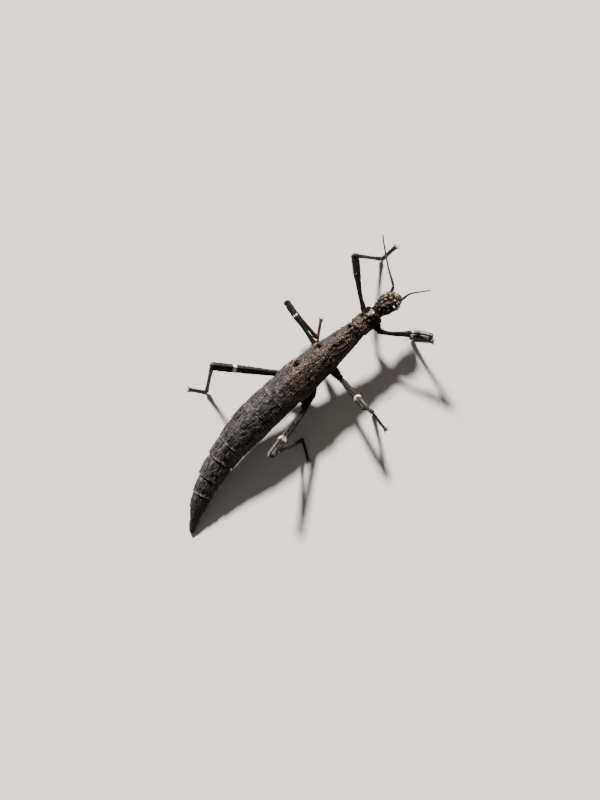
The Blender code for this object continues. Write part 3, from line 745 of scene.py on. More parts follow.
    # each ring swells a little, flares at its rear rim and steps in behind it
    rim = np.zeros_like(s)
    front = s + 0.10 * softNoise([x, y, 0 * s], 1.1, 70)
    start = 40.0
    for joint, (lip, step, pale, dark) in jointForm.items():
        before, behind = s < joint, np.clip(s - joint, 0, None)
        form += lip * hump(front, joint - 0.22, 0.34) * before * (0.4 + 0.6 * onBack)
        form -= step * np.exp(-behind / 0.40) * ~before * (0.4 + 0.6 * onBack)
        shade += dark * hump(behind, 0, 0.34) * ~before
        rim += pale * hump(front, joint - 0.13, 0.17) * before
        if joint > start:
            form += 0.10 * np.sin(np.pi * np.clip((s - start) / (joint - start), 0, 1))
            start = joint
    broken = smoothStep(-0.35, 0.30, noise(0.9, 90, 0.3))
    rim = np.clip(rim, 0, 1) * (1 - smoothStep(30, 62, offTop + warp)) * (0.15 + 0.85 * broken)
    detail += 0.10 * rim * (fine + 0.3)

    # a breathing hole low on each side of every ring of the abdomen
    for (away,) in bothSides([(joint + 1.1, 104) for joint in list(jointForm)[4:12]]):
        form += 0.10 * hump(away, 0.34, 0.13)
        shade += 0.9 * hump(away, 0.0, 0.20)

    # knobs and hollows of the head, a low rim round each eye and a groove along the middle
    jag, stain = 1 + 0.65 * noise(0.75, 97), smoothStep(-0.45, 0.45, noise(0.55, 98))
    for away, height, width, pale in bothSides(headForm["knobs"], lag=0.15, lean=3):
        away = away * jag
        form += 0.85 * height * hump(away, 0, width) * head
        relief += (0.10 + 0.75 * pale) * hump(away, 0, 0.9 * width) * head
        shade += 0.20 * hump(away, width * 1.6, 0.20) * head
        rim += pale * (pale + (1 - pale) * stain) * hump(away, 0, 0.8 * width) * head
    for away, depth, width in bothSides(headForm["hollows"]):
        form -= depth * hump(away, 0, width) * head
        shade += 1.1 * hump(away, 0, width) * head
    for sign in (-1, 1):
        away = np.sqrt((s - eye["at"]) ** 2 + (x - sign * eye["side"]) ** 2 + (y + drop - eye["height"]) ** 2)
        form += headForm["socket"] * hump(away, eye["radius"] + 0.32, 0.26) * head
        form -= 0.55 * hump(away, 0.0, eye["radius"] * 0.8) * head
        shade += 0.8 * hump(away, eye["radius"] + 0.02, 0.16) * head
    form -= head * 0.28 * hump(offTop, 0, 8) * between(s, 0.8, 2.0, 5.5, 7.0)
    # the last ring is pinched in before its tip, most of all on the left
    form -= (0.55 - 0.21 * rightHalf) * hump(s, 93.2, 1.4) * hump(offTop, 90, 50)
    form += 0.28 * (1 - rightHalf) * hump(s, 97.0, 1.0) * hump(offTop, 80, 45)
    for at, aside, height in thornForm["back"]:  # a hollow at the foot of each thorn, with a painted shadow in it
        tilt = math.degrees(math.asin(2 * aside / sectionAt(at)[0]))
        for (away,) in bothSides([(at + 0.25, tilt)]):
            shade += 0.95 * hump(away, 0.0, 0.50 * height)
            form -= 0.12 * hump(away, 0.0, 0.45 * height)

    ends = smoothStep(-0.45, 0.3, s) * (1 - 0.8 * smoothStep(96.0, 98.2, s))
    seam = smoothStep(80.4, 81.4, s) * hump(offTop, 98, 4.0)
    out = (form + detail - bodyForm["inset"]) * ends - 0.25 * seam
    across, rise = x + nx * out, y + ny * out + drop
    _, right, up = headingAt(stations[:, 0])
    rings = trunkPoint(stations[:, 0])[:, None] + right[:, None] * across[..., None]
    rings = rings + up[:, None] * rise[..., None]
    rings[..., 2] = np.maximum(rings[..., 2], 0.02)

    # what the material and the scattered grains read
    crown = head * onBack
    chalky = np.clip(rough + 0.9 * crown + 0.30 * abdomen * onBack + collar * onBack, 0, 1)
    lit = smoothStep(-0.35, 0.4, noise(1.0, 95))
    pale = 0.95 * collar * onBack * lit + 0.35 * bosses * lit
    # painted light: the crown and the back plate of the first ring are paler on the left, the lit side
    pale = pale + 0.20 * crown * (1 - 0.6 * rightHalf) * smoothStep(1.5, 3.0, s)
    pale = pale + 0.16 * onFirst * (1 - rightHalf) * lit
    early = 1 - smoothStep(19, 27, s)  # the painted shade on the right begins further round at the front of the thorax
    # shade painted on the right half of the thorax, the abdomen and the head, deepening further round the
    # side
    paintedShadeRight = sizes["paintedShadeRight"] * rightHalf * thorax * smoothStep(0, 36, offTop - 15 * early + 1.3 * warp)
    paintedShadeRightAbdomen = sizes["abdomenPaintedShade"] * rightHalf * abdomen * smoothStep(22, 72, offTop + 1.2 * warp)
    paintedShadeRight = np.maximum(paintedShadeRight, paintedShadeRightAbdomen)
    paintedShadeRightHead = sizes["paintedShadeRight"] * rightHalf * head * smoothStep(1.7, 3.0, s)
    paintedShadeRightHead = paintedShadeRightHead * smoothStep(16, 42, offTop + 0.8 * warp)
    rim = rim * (1 - paintedShadeRightHead * smoothStep(3.2, 3.8, s))
    grainy = rough * (0.6 - 0.45 * paintedShadeRight) + crown * 0.10 + collar * onBack * 0.4 + 0.05 * flank + 0.30 * hem
    marks = {
        # the relief mark also takes the shade painted into the skin, which the bark turns black
        "relief": np.clip(relief - 1.5 * shade - 1.2 * seam, -1, 1),
        # the crown's rough colour is weaker on the right, a painted shade
        "rough": np.clip(rough + crown * (0.50 - 0.3 * rightHalf), 0, 1),
        "flank": flank + 0.15 * crown,
        # the collar mark also carries the light painted on the left of the crown and the first ring
        "collar": np.clip(pale, 0, 1) * smoothStep(-0.35, 0.1, relief),
        "straw": crown * (1 - smoothStep(2.6, 4.4, s)) * smoothStep(-0.4, 0.2, relief),
        # the dark tail colour also takes the shade painted on the right
        "tail": np.clip(np.maximum(0.9 * tail, paintedShadeRight + paintedShadeRightHead), 0, 1),
        "rim": rim,
        "chalky": chalky * (1 - 0.85 * np.clip(paintedShadeRight + paintedShadeRightHead, 0, 1)),
        "granules": np.clip(grainy * (1 - paintedShadeRightHead) * (1 - np.clip(1.2 * shade, 0, 1)), 0, 1),
        "nodules": np.clip(abdomen * onBack * (0.12 + 1.2 * rim) * (1 - 0.7 * tail), 0, 1),
    }
    return gridObject("bodySkin", rings, marks, bark)


body = bodySkin()
print("body skin", len(body.data.vertices))


# Small thorns in pairs along the back and a row along each flank


def thornPiece(foot, aim, height, width, dark, seed):  # a rough blunt cone that widens into its foot
    aim = unit(aim)
    across = unit(np.cross(aim, (0.3, 0.9, 0.1)))
    other = np.cross(aim, across)
    share = np.linspace(0, 1, 12)[:, None] + 0 * turns(14)
    radius = width / 2 * (0.16 + 0.84 * (1 - share) ** 1.5) * np.sqrt(1 - share**8 * 0.85)
    lift = (height + thornForm["root"]) * share - thornForm["root"]
    x, y = np.cos(turns(14)) * radius, np.sin(turns(14)) * radius
    rough = softNoise([x, y, lift], 0.3, seed)
    x, y = x * (1 + 0.22 * rough), y * (1 + 0.22 * rough)
    rings = foot + across * x[..., None] + other * y[..., None] + aim * lift[..., None]
    marks = {mark: 0 * rough for mark in ("flank", "collar", "straw", "rim")}
    marks["relief"] = rough * 0.8
    marks["rough"] = 0.5 * (1 - share)
    marks["tail"] = (0.55 + 0.45 * smoothStep(0.1, 0.5, share)) * dark
    marks["chalky"] = 0.3 * (1 - share)
    return gridObject("thorn", rings, marks, bark)


def backThorns():
    form, made = thornForm, []
    for index, (s, side, height) in enumerate(form["back"]):
        width, tall = sectionAt(s)
        rise = tall / 2 * math.sqrt(1 - (side / (width / 2)) ** 2)
        back, right, up = headingAt(np.asarray(s))
        for sign in (-1, 1):
            aim = up + right * 0.35 * sign + back * 0.25
            foot = onTrunk(s, sign * side, rise - 0.1)
            made.append(thornPiece(foot, aim, height, form["width"], 1.0, 200 + index * 2 + sign))
    count = round((form["sideLast"] - form["sideFirst"]) / form["sideStep"]) + 1
    for index in range(count):
        s = form["sideFirst"] + index * form["sideStep"]
        back, right, up = headingAt(np.asarray(s))
        height = form["sideHeight"] * (0.75 + 0.25 * math.cos(index * 2.4))
        for sign in (-1, 1):
            foot = onTrunk(s, sign * (sectionAt(s)[0] / 2 - 0.25), 0.5 + 0.3 * math.sin(index * 1.9))
            aim = right * sign + up * 0.4 + back * 0.25
            made.append(thornPiece(foot, aim, height, form["sideWidth"], 0.5, 230 + index * 2 + sign))
    return joinedObject("bodyThorns", made)


thorns = backThorns()
print("thorns ready")


# Legs: hip, thigh, shin and foot, each a closed shell rooted in the one before

legForm = {
    # hip, thigh thickness, then trochanter, knee, ankle and toe
    "fore_left": (10.6, 2.1, (-3.3, 19.3, 10.6), (-17.5, 28.2, 15.0), (-17.1, 35.1), (-17.3, 41.3)),
    "fore_right": (10.6, 2.1, (4.5, 18.3, 10.6), (18.3, 27.8, 15.0), (9.7, 25.2), (14.3, 29.3)),
    "mid_left": (29.3, 1.9, (-7.2, 1.5, 8.6), (-22.1, 3.4, 11.3), (-10.7, 3.6), (-14.7, 8.2)),
    "mid_right": (29.3, 2.1, (8.2, 0.3, 8.8), (21.8, -0.1, 15.5), (19.6, 1.2), (25.8, 0.8)),
    "hind_left": (36.8, 2.35, (-7.1, -12.9, 8.2), (-19.1, -26.8, 18.0), (-21.2, -33.9), (-26.2, -37.7)),
    "hind_right": (36.8, 2.35, (7.4, -13.9, 8.2), (14.8, -30.2, 18.0), (12.0, -20.5), (17.7, -23.1)),
}
legLook = {
    # pale band, rust, how grey the thigh is near the hip and near the knee, how grey the shin is, and how
    # strong the painted sheen lines and the pale rim of the knee are
    "fore_left": (0.1, 0.1, (0.0, 0.05), 0.9, 0.0, 0.05),
    "fore_right": (0.7, 0.1, (0.05, 0.5), 0.3, 1.0, 0.22),
    "mid_left": (0.6, 0.5, (0.05, 0.3), 0.3, 0.0, 0.05),
    "mid_right": (1.0, 0.05, (0.35, 0.6), 0.2, 0.30, 0.05),
    "hind_left": (0.9, 0.1, (0.3, 0.35), 0.2, 0.0, 0.05),
    "hind_right": (1.0, 0.08, (0.6, 1.0), 0.45, 0.30, 0.05),
}
legSizes = {
    # thickness of the hip, and how far to the side it is rooted
    "coxa": {"fore": (2.9, 1.4), "mid": (3.0, 1.4), "hind": (5.2, 2.2)},
    "slimCoxa": ((0, 0.9), (0.3, 1.0), (0.55, 0.96), (0.78, 0.80), (1, 0.60)),
    "broadCoxa": ((0, 0.9), (0.3, 1.0), (0.5, 0.95), (0.68, 0.70), (0.85, 0.53), (1, 0.43)),
    "hipDrop": 1.6,
    "tibia": 1.5,
    "ankleHeight": 1.05,
    "ankleOverlap": 0.55,
    "hipOverlap": 0.5,
    "kneeOverhang": 0.55,
    "kneeInset": 0.3,
    "leftBow": 0.5,
    "rightBow": 0.4,
    # share of the thigh's length, share of its thickness
    "slender": (
        (0, 0.90), (0.1, 0.76), (0.25, 0.62), (0.45, 0.76),
        (0.65, 1.02), (0.85, 1.08), (0.95, 1.08), (1, 1.04),
    ),
    "stout": (
        (0, 0.80), (0.1, 0.82), (0.25, 0.88), (0.45, 0.97),
        (0.65, 1.06), (0.85, 1.07), (0.95, 1.06), (1, 1.02),
    ),
    "shin": ((0, 0.55), (0.07, 0.85), (0.14, 1.0), (0.45, 0.84), (0.80, 0.86), (0.94, 1.05), (1.0, 0.9)),
    "tarsus": 1.0,
    "tarsusLength": 6.2,
    "tarsusWaist": 0.72,
    "tarsusHeight": 0.26,
    "tarsusRise": 0.22,
    "tarsusJoints": (0.33, 0.49, 0.60, 0.70, 1.0),
    "claw": 0.5,
    "creamAt": 0.645,
    "creamHalf": 0.027,
    "inset": 0.06,
}
limbMarks = ("relief", "cream", "paintedSheenLine", "edge", "hip", "shin", "rust", "foot", "spines", "pale")
ridgeTurn = np.pi / 2  # four ridges run along a limb


def limbShellObject(name, points, thickness, sides, marks, relief=1.0, ridge=0.0, flatSole=False, paintedSheenLines=0.0):
    # points is a run along the limb, and thickness and each mark have a value for each of them
    turn = turns(sides)
    toRidge = np.abs((turn + ridgeTurn / 2) % ridgeTurn - ridgeTurn / 2)
    keel = ridge * (hump(toRidge, 0, 0.17) - 0.34 - 0.16 * hump(toRidge, ridgeTurn / 2, 0.25))
    radius = thickness[:, None] / 2 - legSizes["inset"]
    distance = np.linalg.norm(np.diff(points, axis=0), axis=1)
    travel = np.concatenate(([0], np.cumsum(distance)))[:, None] + 0 * turn
    flat = [np.cos(turn) * radius, np.sin(turn) * radius, travel]
    seed = 300 + sum(map(ord, name))
    saw = 1 + 0.45 * softNoise([travel, np.round(turn / ridgeTurn) % 4 + 0 * travel, 0 * travel], 0.7, seed)
    grains = domes(cellNoise(flat, 0.34, seed)[0], 0.5)
    detail = 0.07 * grains + 0.05 * softNoise([flat[0], flat[1], travel * 0.3], 0.3, seed)
    detail = detail * relief - 0.03
    full = np.maximum(radius * (1 + keel * saw) + detail * np.minimum(1, radius * 2), 0.02)
    rings = tubeRings(points, full, turn)
    if flatSole:
        rings[..., 2] = np.maximum(rings[..., 2], 0.02)
    edge = hump(toRidge, 0, 0.20) * (ridge > 0) + 0 * radius
    complete = {mark: np.zeros_like(full) for mark in limbMarks}
    for mark, values in marks.items():
        complete[mark] = np.clip(np.reshape(values, (-1, 1)) + 0 * full, 0, 1)
    complete["relief"] = np.clip(detail / 0.08, -1, 1)
    complete["edge"] = edge * 0.9
    if "cream" in marks:
        band = marks["cream"][:, None]
        cream = band + 0.95 * softNoise(flat, 0.5, seed + 1) * (band > 0.02)
        complete["cream"] = smoothStep(0.42, 0.62, cream) * (1 - 0.75 * edge) * band**0.3
    broken = smoothStep(-0.3, 0.2, softNoise([flat[0], flat[1], travel * 0.4], 0.5, seed + 2))
    # painted sheen lines along each face of the limb
    complete["paintedSheenLine"] = np.reshape(paintedSheenLines, (-1, 1)) * hump(toRidge, 0.48, 0.10) * broken
    complete["spines"] = (edge * 0.8 + 0.10) * relief
    return gridObject(name, rings, complete, limbShell, lie=alongRun(points))


def roundEnds(shares, first, last):
    ends = np.ones_like(shares)
    for run, reach in ((shares, first), (1 - shares, last)):
        if reach:
            ends *= np.sqrt(np.clip(1 - (1 - np.clip(run / reach, 0, 1)) ** 2, 0, 1))
    return np.maximum(ends, 0.02)


def hipShell(name, hip, trochanter):
    broad = name.startswith("hind")
    thickness, _ = legSizes["coxa"][name.split("_")[0]]
    shares = np.linspace(0, 1, 60)
    points = hip + (trochanter - hip) * shares[:, None]
    sizes = tableAt(legSizes["broadCoxa" if broad else "slimCoxa"], shares) * roundEnds(shares, 0, 0.12)
    sizes = thickness * sizes * (1 - 0.16 * hump(shares, 0.76 + 0.08 * broad, 0.035))
    return limbShellObject("hip_" + name, points, sizes, 40, {"hip": 1.0}, relief=2.2)


def thighShell(name, thickness, trochanter, knee):
    band, _, grey, _, paintedSheenLines, kneeRim = legLook[name]
    shares = np.linspace(0, 1, 150)
    bow = 0 * shares
    if name == "fore_left":
        bow = legSizes["leftBow"] * np.sin(np.pi * shares**0.7)
    elif name == "fore_right":
        bow = legSizes["rightBow"] * np.sin(2 * np.pi * shares)
    leg = unit(knee - trochanter)
    backwards = np.cross(unit(leg * (1, 1, 0)), upward) * (1 if leg[0] > 0 else -1)
    start = trochanter - leg * legSizes["hipOverlap"]  # the thigh is rooted in the end of the hip
    end = knee + leg * legSizes["kneeOverhang"]
    points = start + (end - start) * shares[:, None] + backwards * bow[:, None]
    table = legSizes["slender" if name in ("fore_left", "fore_right", "mid_left") else "stout"]
    sizes = tableAt(table, shares) * roundEnds(shares, 0.03, 0.05) * (1 - 0.08 * hump(shares, 0.90, 0.02))
    half = legSizes["creamHalf"] * (0.45 + 0.55 * band)
    cream = 1 - smoothStep(half - 0.012, half + 0.012, np.abs(shares - legSizes["creamAt"]))
    cream = cream * (0.55 + 0.45 * band) * min(1.0, 1.6 * band) + kneeRim * hump(shares, 0.99, 0.012)
    pale = grey[0] + (grey[1] - grey[0]) * smoothStep(0.35, 0.75, shares)
    pale = np.maximum(pale, 0.9 * hump(shares, 0.98, 0.03))
    marks = {"cream": cream, "rust": 0.12 * hump(shares, 0.97, 0.03), "pale": pale}
    paintedSheenLines = paintedSheenLines * between(shares, 0.62, 0.72, 0.93, 0.97)
    return limbShellObject("thigh_" + name, points, thickness * sizes, 64, marks, ridge=0.22, paintedSheenLines=paintedSheenLines)


def shinShell(name, trochanter, knee, ankle):
    _, rust, _, grey, _, _ = legLook[name]
    shares = np.linspace(0, 1, 110)
    start = knee + unit(trochanter - knee) * legSizes["kneeInset"]
    # the round end of the shin holds the root of the foot
    end = ankle + unit(ankle - start) * legSizes["ankleOverlap"]
    points = start + (end - start) * shares[:, None]
    sizes = tableAt(legSizes["shin"], shares) * roundEnds(shares, 0.04, 0.05) * legSizes["tibia"]
    marks = {
        "shin": 0.9 - 0.5 * grey,
        "cream": 0.25 * hump(shares, 0.20, 0.02),
        "rust": rust * (0.55 + 0.45 * hump(shares, 0.25, 0.22)),
        "pale": grey,
    }
    return limbShellObject("shin_" + name, points, sizes, 40, marks, ridge=0.12)


def footShell(name, ankle, reach):
    form = legSizes
    shares = np.linspace(0, 1, 130)
    climb = np.clip(1 - shares / form["tarsusRise"], 0, None) ** 2
    points = ankle * (1, 1, 0) + reach * (form["tarsusLength"] * shares)[:, None]
    points[:, 2] = form["tarsusHeight"] + (form["ankleHeight"] - form["tarsusHeight"]) * climb
    thickness = np.zeros_like(shares)
    first = 0.0
    for last in form["tarsusJoints"]:
        part = (shares - first) / (last - first)
        swell = form["tarsusWaist"] + (1 - form["tarsusWaist"]) * part
        swell = swell * (1 - 0.30 * hump(part, 0.0, 0.018 / (last - first)) - 0.15 * hump(part, 1.0, 0.05))
        thickness = np.where((shares >= first) & (shares <= last), form["tarsus"] * swell, thickness)
        first = last
    thickness = np.maximum(thickness, 0.62 * (shares < 0.12)) * roundEnds(shares, 0.02, 0.03)
    marks = {"foot": 0.8, "rust": 0.7 * legLook[name][1]}
    return limbShellObject("foot_" + name, points, thickness, 32, marks, flatSole=True)


def tube(knots, count, sides, swell=1.0, floor=-np.inf):  # knots are rows of x, y, z and thickness
    run = smoothRun(knots, count)
    thickness = run[:, 3] * roundEnds(np.linspace(0, 1, count), 0.03, 0.03) * swell
    rings = tubeRings(run[:, :3], thickness[:, None] / 2, turns(sides))
    rings[..., 2] = np.maximum(rings[..., 2], floor)
    return rings


clawForm = {
    # distance ahead of the toe, to the side and up, and share of the thickness
    "hook": (
        (-0.35, 0.1, 0.02, 0.9), (0.15, 0.26, 0.12, 0.9), (0.6, 0.55, 0.08, 0.6), (0.92, 0.72, -0.10, 0.16),
    ),
    "pad": ((-0.3, 0, 0, 0.8), (0.1, 0, 0.05, 1.0), (0.45, 0, 0.06, 0.7)),
}


def clawPair(name, ankle, reach):
    end = ankle * (1, 1, 0) + upward * legSizes["tarsusHeight"] + reach * legSizes["tarsusLength"]
    axes = np.array((reach, np.cross(reach, upward), upward))
    made = []
    for part, sign, count in (("hook", -1, 22), ("hook", 1, 22), ("pad", 1, 16)):
        rows = np.array(clawForm[part]) * (1, sign, 1, legSizes["claw"])
        knots = np.hstack((end + rows[:, :3] @ axes, rows[:, 3:]))
        made.append(gridObject(name, tube(knots, count, 12, floor=0.02), {}, clawHorn))
    return joinedObject(name, made)


legs, claws = {}, {}
for name, (hipAt, thickness, trochanter, knee, ankle, toe) in legForm.items():
    pair, side = name.split("_")
    trochanter, knee = np.array(trochanter), np.array(knee)
    ankle, toe = (np.array((*place, legSizes["ankleHeight"])) for place in (ankle, toe))
    hip = onTrunk(hipAt, pairSides[side] * legSizes["coxa"][pair][1], -legSizes["hipDrop"])
    foot = footShell(name, ankle, unit(toe - ankle))
    parts = [
        hipShell(name, hip, trochanter),
        thighShell(name, thickness, trochanter, knee),
        shinShell(name, trochanter, knee, ankle),
        foot,
    ]
    legs[name] = joinedObject("legSkin_" + name, parts)
    claws[name] = clawPair("claws_" + name, ankle, unit(toe - ankle))
print("legs", sum(len(leg.data.vertices) for leg in legs.values()))


# Antennae, eyes and mouth

antennaForm = {
    "scape": 1.0,
    "thickness": 0.56,
    "tip": 0.34,
    "whipFrom": 0.24,
    # joints of the whip, paleness of its band, then points on its line: distance behind the front of the
    # head, to the right of the midline and above it
    "left": (
        22, 0.1,
        (1.3, -1.9, 0.8), (-0.5, -3.1, 1.8), (-2.4, -7.5, 4.0), (-5.5, -13.5, 5.8), (-7.1, -16.3, 6.3),
    ),
    "right": (
        17, 0.6,
        (0.8, 1.75, 0.8), (-0.4, 2.35, 1.8), (-2.5, 3.5, 4.6), (-4.7, 6.4, 8.7), (-7.2, 9.6, 12.6),
    ),
}


def antennaSkin(side):
    form, count, sides = antennaForm, 260, 16
    joints, band, *line = form[side]
    thick = form["thickness"]
    sizes = (form["scape"], form["scape"] * 0.8, thick * 0.94, thick * 0.84, form["tip"])
    knots = [(*onTrunk(*place), size) for place, size in zip(line, sizes)]
    shares = np.linspace(0, 1, count)
    whip = shares > form["whipFrom"]
    part = (np.clip((shares - form["whipFrom"]) / (1 - form["whipFrom"]), 0, 1) * joints) % 1.0
    root = 1 - 0.30 * hump(shares, 0.235, 0.02) + 0.10 * hump(shares, 0.15, 0.06)
    swell = np.where(whip, 1 + 0.13 * part**2 - 0.14 * hump(part, 0.0, 0.10), root)
    rings = tube(knots, count, sides, swell)
    marks = {
        "scape": 1 - smoothStep(0.22, 0.30, shares),
        "pale": 0.35 * hump(part, 0.02, 0.10) * whip + band * hump(shares, 0.80, 0.05),
        "spines": (shares > 0.2) * 0.7,
    }
    marks = {mark: values[:, None] + np.zeros(sides) for mark, values in marks.items()}
    return gridObject("antennaSkin_" + side, rings, marks, antennaShell, lie=alongRun(rings.mean(1)))


def eyeBall(side):
    low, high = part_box("eye_" + side)
    half = (high - low) / 2
    mesh = bmesh.new()
    bmesh.ops.create_uvsphere(mesh, u_segments=48, v_segments=32, radius=1.0)
    for vertex in mesh.verts:
        vertex.co = Vector([vertex.co[k] * half[k] * 0.99 for k in range(3)]) + (low + high) / 2
    data = bpy.data.meshes.new("eyeBall_" + side)
    mesh.to_mesh(data)
    mesh.free()
    data.shade_smooth()
    data.materials.append(eyeGloss)
    return linkedObject("eyeBall_" + side, data)


mouthForm = {
    "jawsAt": 0.30,
    "jawsDrop": 1.5,
    "radii": (1.35, 0.95, 1.0),
    "palp": 0.55,
    # distance behind the front, to the side and up, and share of the thickness
    "palpLine": ((1.6, 0.9, -1.9, 0.9), (0.9, 1.25, -2.5, 1.0), (0.4, 1.0, -3.0, 0.8)),
}


def jawForm():  # two jaws that meet on a line, under a lip
    polar, turn = np.linspace(0.04, np.pi - 0.04, 40)[:, None], turns(56)
    x, z = np.sin(polar) * np.cos(turn), np.sin(polar) * np.sin(turn)
    y = np.cos(polar) + 0 * turn
    size = 1 - 0.20 * hump(x, 0, 0.10) * (y > -0.2) + 0.05 * softNoise([x, y, z], 0.35, 400)
    size = size - 0.12 * hump(z, 0.35, 0.08) * (y > 0)
    wide, deep, tall = mouthForm["radii"]
    back, right, up = headingAt(np.asarray(0.0))
    rings = onTrunk(mouthForm["jawsAt"], 0, -mouthForm["jawsDrop"]) + right * (x * size * wide)[..., None]
    rings = rings - back * (y * size * deep)[..., None] + up * (z * size * tall)[..., None]
    marks = {mark: np.zeros_like(x) for mark in limbMarks}
    marks["relief"] = np.clip((size - 0.92) * 8, -1, 1)
    marks["hip"] = np.full_like(x, 0.7)
    return gridObject("jawForm", rings, marks, limbShell)


def palpSkin(side):
    knots = []
    for at, out, rise, share in mouthForm["palpLine"]:
        knots.append((*onTrunk(at, pairSides[side] * out, rise), mouthForm["palp"] * share))
    count, sides = 70, 16
    part = (np.linspace(0, 1, count) * 4) % 1.0
    rings = tube(knots, count, sides, 1 + 0.12 * part - 0.22 * hump(part, 0.0, 0.12))
    marks = {mark: np.full((count, sides), 0.6 * (mark == "foot")) for mark in limbMarks}
    return gridObject("palpSkin_" + side, rings, marks, limbShell)


antennae = {side: antennaSkin(side) for side in pairSides}
eyes = {side: eyeBall(side) for side in pairSides}
jaws = jawForm()
palps = {side: palpSkin(side) for side in pairSides}
print("head parts ready")


# Grains, nodules and bristles, scattered over the skins

scatterSizes = {
    # how many on each square millimetre, least spacing, smallest and largest half size, how much a grain is
    # roughened, and how far a bristle leans along the limb
    "granules": (4.2, 0.28, 0.07, 0.21, 0.15, 0.35),
    "nodules": (2.6, 0.32, 0.06, 0.14, 0.08, 0.2),
    "bristles": (1.7, 0.32, 0.08, 0.21, 0.0, 1.1),
    "down": (9.0, 0.12, 0.05, 0.10, 0.0, 1.4),
}
scatterInputs = {  # each input with the unit that its size is given in
    "Density": mm**-2,
    "Spacing": mm,
    "Smallest": mm,
    "Largest": mm,
    "Rough": mm,
    "Lean": 1.0,
}
patchShare = 0.0015  # half the side of a form's patch on the map


def scatterTree(name, shape, material):
    tree = bpy.data.node_groups.new(name, "GeometryNodeTree")
    sockets = [("Skin", "Geometry"), *((port, "Float") for port in scatterInputs)]
    for port, kind in sockets + [("Mark", "String"), ("Seed", "Int")]:
        tree.interface.new_socket(port, in_out="INPUT", socket_type="NodeSocket" + kind)
    tree.interface.new_socket("Grown", in_out="OUTPUT", socket_type="NodeSocketGeometry")
    source = tree.nodes.new("NodeGroupInput").outputs

    def add(kind, inputs=None, **settings):
        return addNode(tree, kind, inputs, **settings)

    def named(name, kind="FLOAT_VECTOR"):
        return add("GeometryNodeInputNamedAttribute", {"Name": name}, data_type=kind).outputs["Attribute"]

    def stored(geometry, name, value, kind, domain):
        inputs = {"Geometry": geometry, "Name": name, "Value": value}
        return add("GeometryNodeStoreNamedAttribute", inputs, data_type=kind, domain=domain).outputs[0]

    def scaled(vector, share):
        return add("ShaderNodeVectorMath", {0: vector, "Scale": share}, operation="SCALE").outputs[0]

    def summed(first, second):
        return add("ShaderNodeVectorMath", {0: first, 1: second}, operation="ADD").outputs[0]

    inputs = {
        "Mesh": source["Skin"],
        "Distance Min": source["Spacing"],
        "Density Max": source["Density"],
        "Density Factor": named(source["Mark"], "FLOAT"),
        "Seed": source["Seed"],
    }
    points = add("GeometryNodeDistributePointsOnFaces", inputs, distribute_method="POISSON").outputs
    if shape == "grain":
        form = add("GeometryNodeMeshUVSphere", {"Segments": 8, "Rings": 5, "Radius": 1.0})
        shares = (1.0, 1.0, 0.85)
    else:
        sizes = {"Vertices": 5, "Side Segments": 2, "Radius Top": 0.03, "Radius Bottom": 0.20, "Depth": 2.0}
        form = add("GeometryNodeMeshCone", sizes)
        shares = (0.7, 0.7, 1.0)
    place = add("GeometryNodeInputPosition").outputs[0]
    inputs = {"Seed": source["Seed"], 2: source["Smallest"], 3: source["Largest"]}
    size = add("FunctionNodeRandomValue", inputs, data_type="FLOAT").outputs[1]
    wide = add("ShaderNodeCombineXYZ", {k: times(size, share) for k, share in enumerate(shares)}).outputs[0]
    aim = summed(points["Normal"], scaled(named("lie"), source["Lean"]))
    inputs = {
        "Points": points["Points"],
        "Instance": stored(form.outputs["Mesh"], "patch", place, "FLOAT_VECTOR", "POINT"),
        "Rotation": add("FunctionNodeAlignRotationToVector", {"Vector": aim}, axis="Z").outputs["Rotation"],
        "Scale": wide,
    }
    planted = add("GeometryNodeInstanceOnPoints", inputs).outputs["Instances"]
    tone = add("FunctionNodeRandomValue", {"Seed": 77}, data_type="FLOAT").outputs[1]
    planted = stored(planted, "tone", tone, "FLOAT", "INSTANCE")
    real = add("GeometryNodeRealizeInstances", {"Geometry": planted}).outputs[0]
    inputs = {"Vector": place, "Scale": 1.0 / (0.16 * mm), "Detail": 0.0}
    lumps = add("ShaderNodeTexNoise", inputs, normalize=False).outputs["Color"]
    inputs = {"Geometry": real, "Offset": scaled(lumps, source["Rough"])}
    roughened = add("GeometryNodeSetPosition", inputs).outputs[0]
    onMap = summed(named(skinMap), scaled(named("patch"), patchShare))
    mapped = stored(roughened, bakeMap, onMap, "FLOAT2", "CORNER")
    smooth = add("GeometryNodeSetShadeSmooth", {"Geometry": mapped}).outputs[0]
    dressed = add("GeometryNodeSetMaterial", {"Geometry": smooth, "Material": material}).outputs[0]
    add("NodeGroupOutput", {"Grown": dressed})
    return tree


def scatter(name, skin, tree, kind, mark, seed):
    step = skin.modifiers.new("scatter", "NODES")
    step.node_group = tree
    keys = {item.name: item.identifier for item in tree.interface.items_tree if item.in_out == "INPUT"}
    for (port, measure), value in zip(scatterInputs.items(), scatterSizes[kind]):
        step[keys[port]] = value * measure
    step[keys["Mark"]] = mark
    step[keys["Seed"]] = seed
    graph = bpy.context.evaluated_depsgraph_get()
    data = bpy.data.meshes.new_from_object(skin.evaluated_get(graph))
    skin.modifiers.remove(step)
    for extra in ("patch", "lie", skinMap):
        if extra in data.attributes:
            data.attributes.remove(data.attributes[extra])
    data.name = name
    print(name, len(data.polygons), "faces")
    return linkedObject(name, data)


grainTree = scatterTree("grainScatter", "grain", granuleChalk)
bristleTree = scatterTree("bristleScatter", "bristle", clawHorn)
granules = scatter("bodyGranules", body, grainTree, "granules", "granules", 4)
nodules = scatter("abdomenNodules", body, grainTree, "nodules", "nodules", 9)
bristles, down = {}, {}
for name, leg in legs.items():
    bristles[name] = scatter("bristles_" + name, leg, bristleTree, "bristles", "spines", 15)
for side, antenna in antennae.items():
    down[side] = scatter("down_" + side, antenna, bristleTree, "down", "spines", 21)


# What each piece stands for

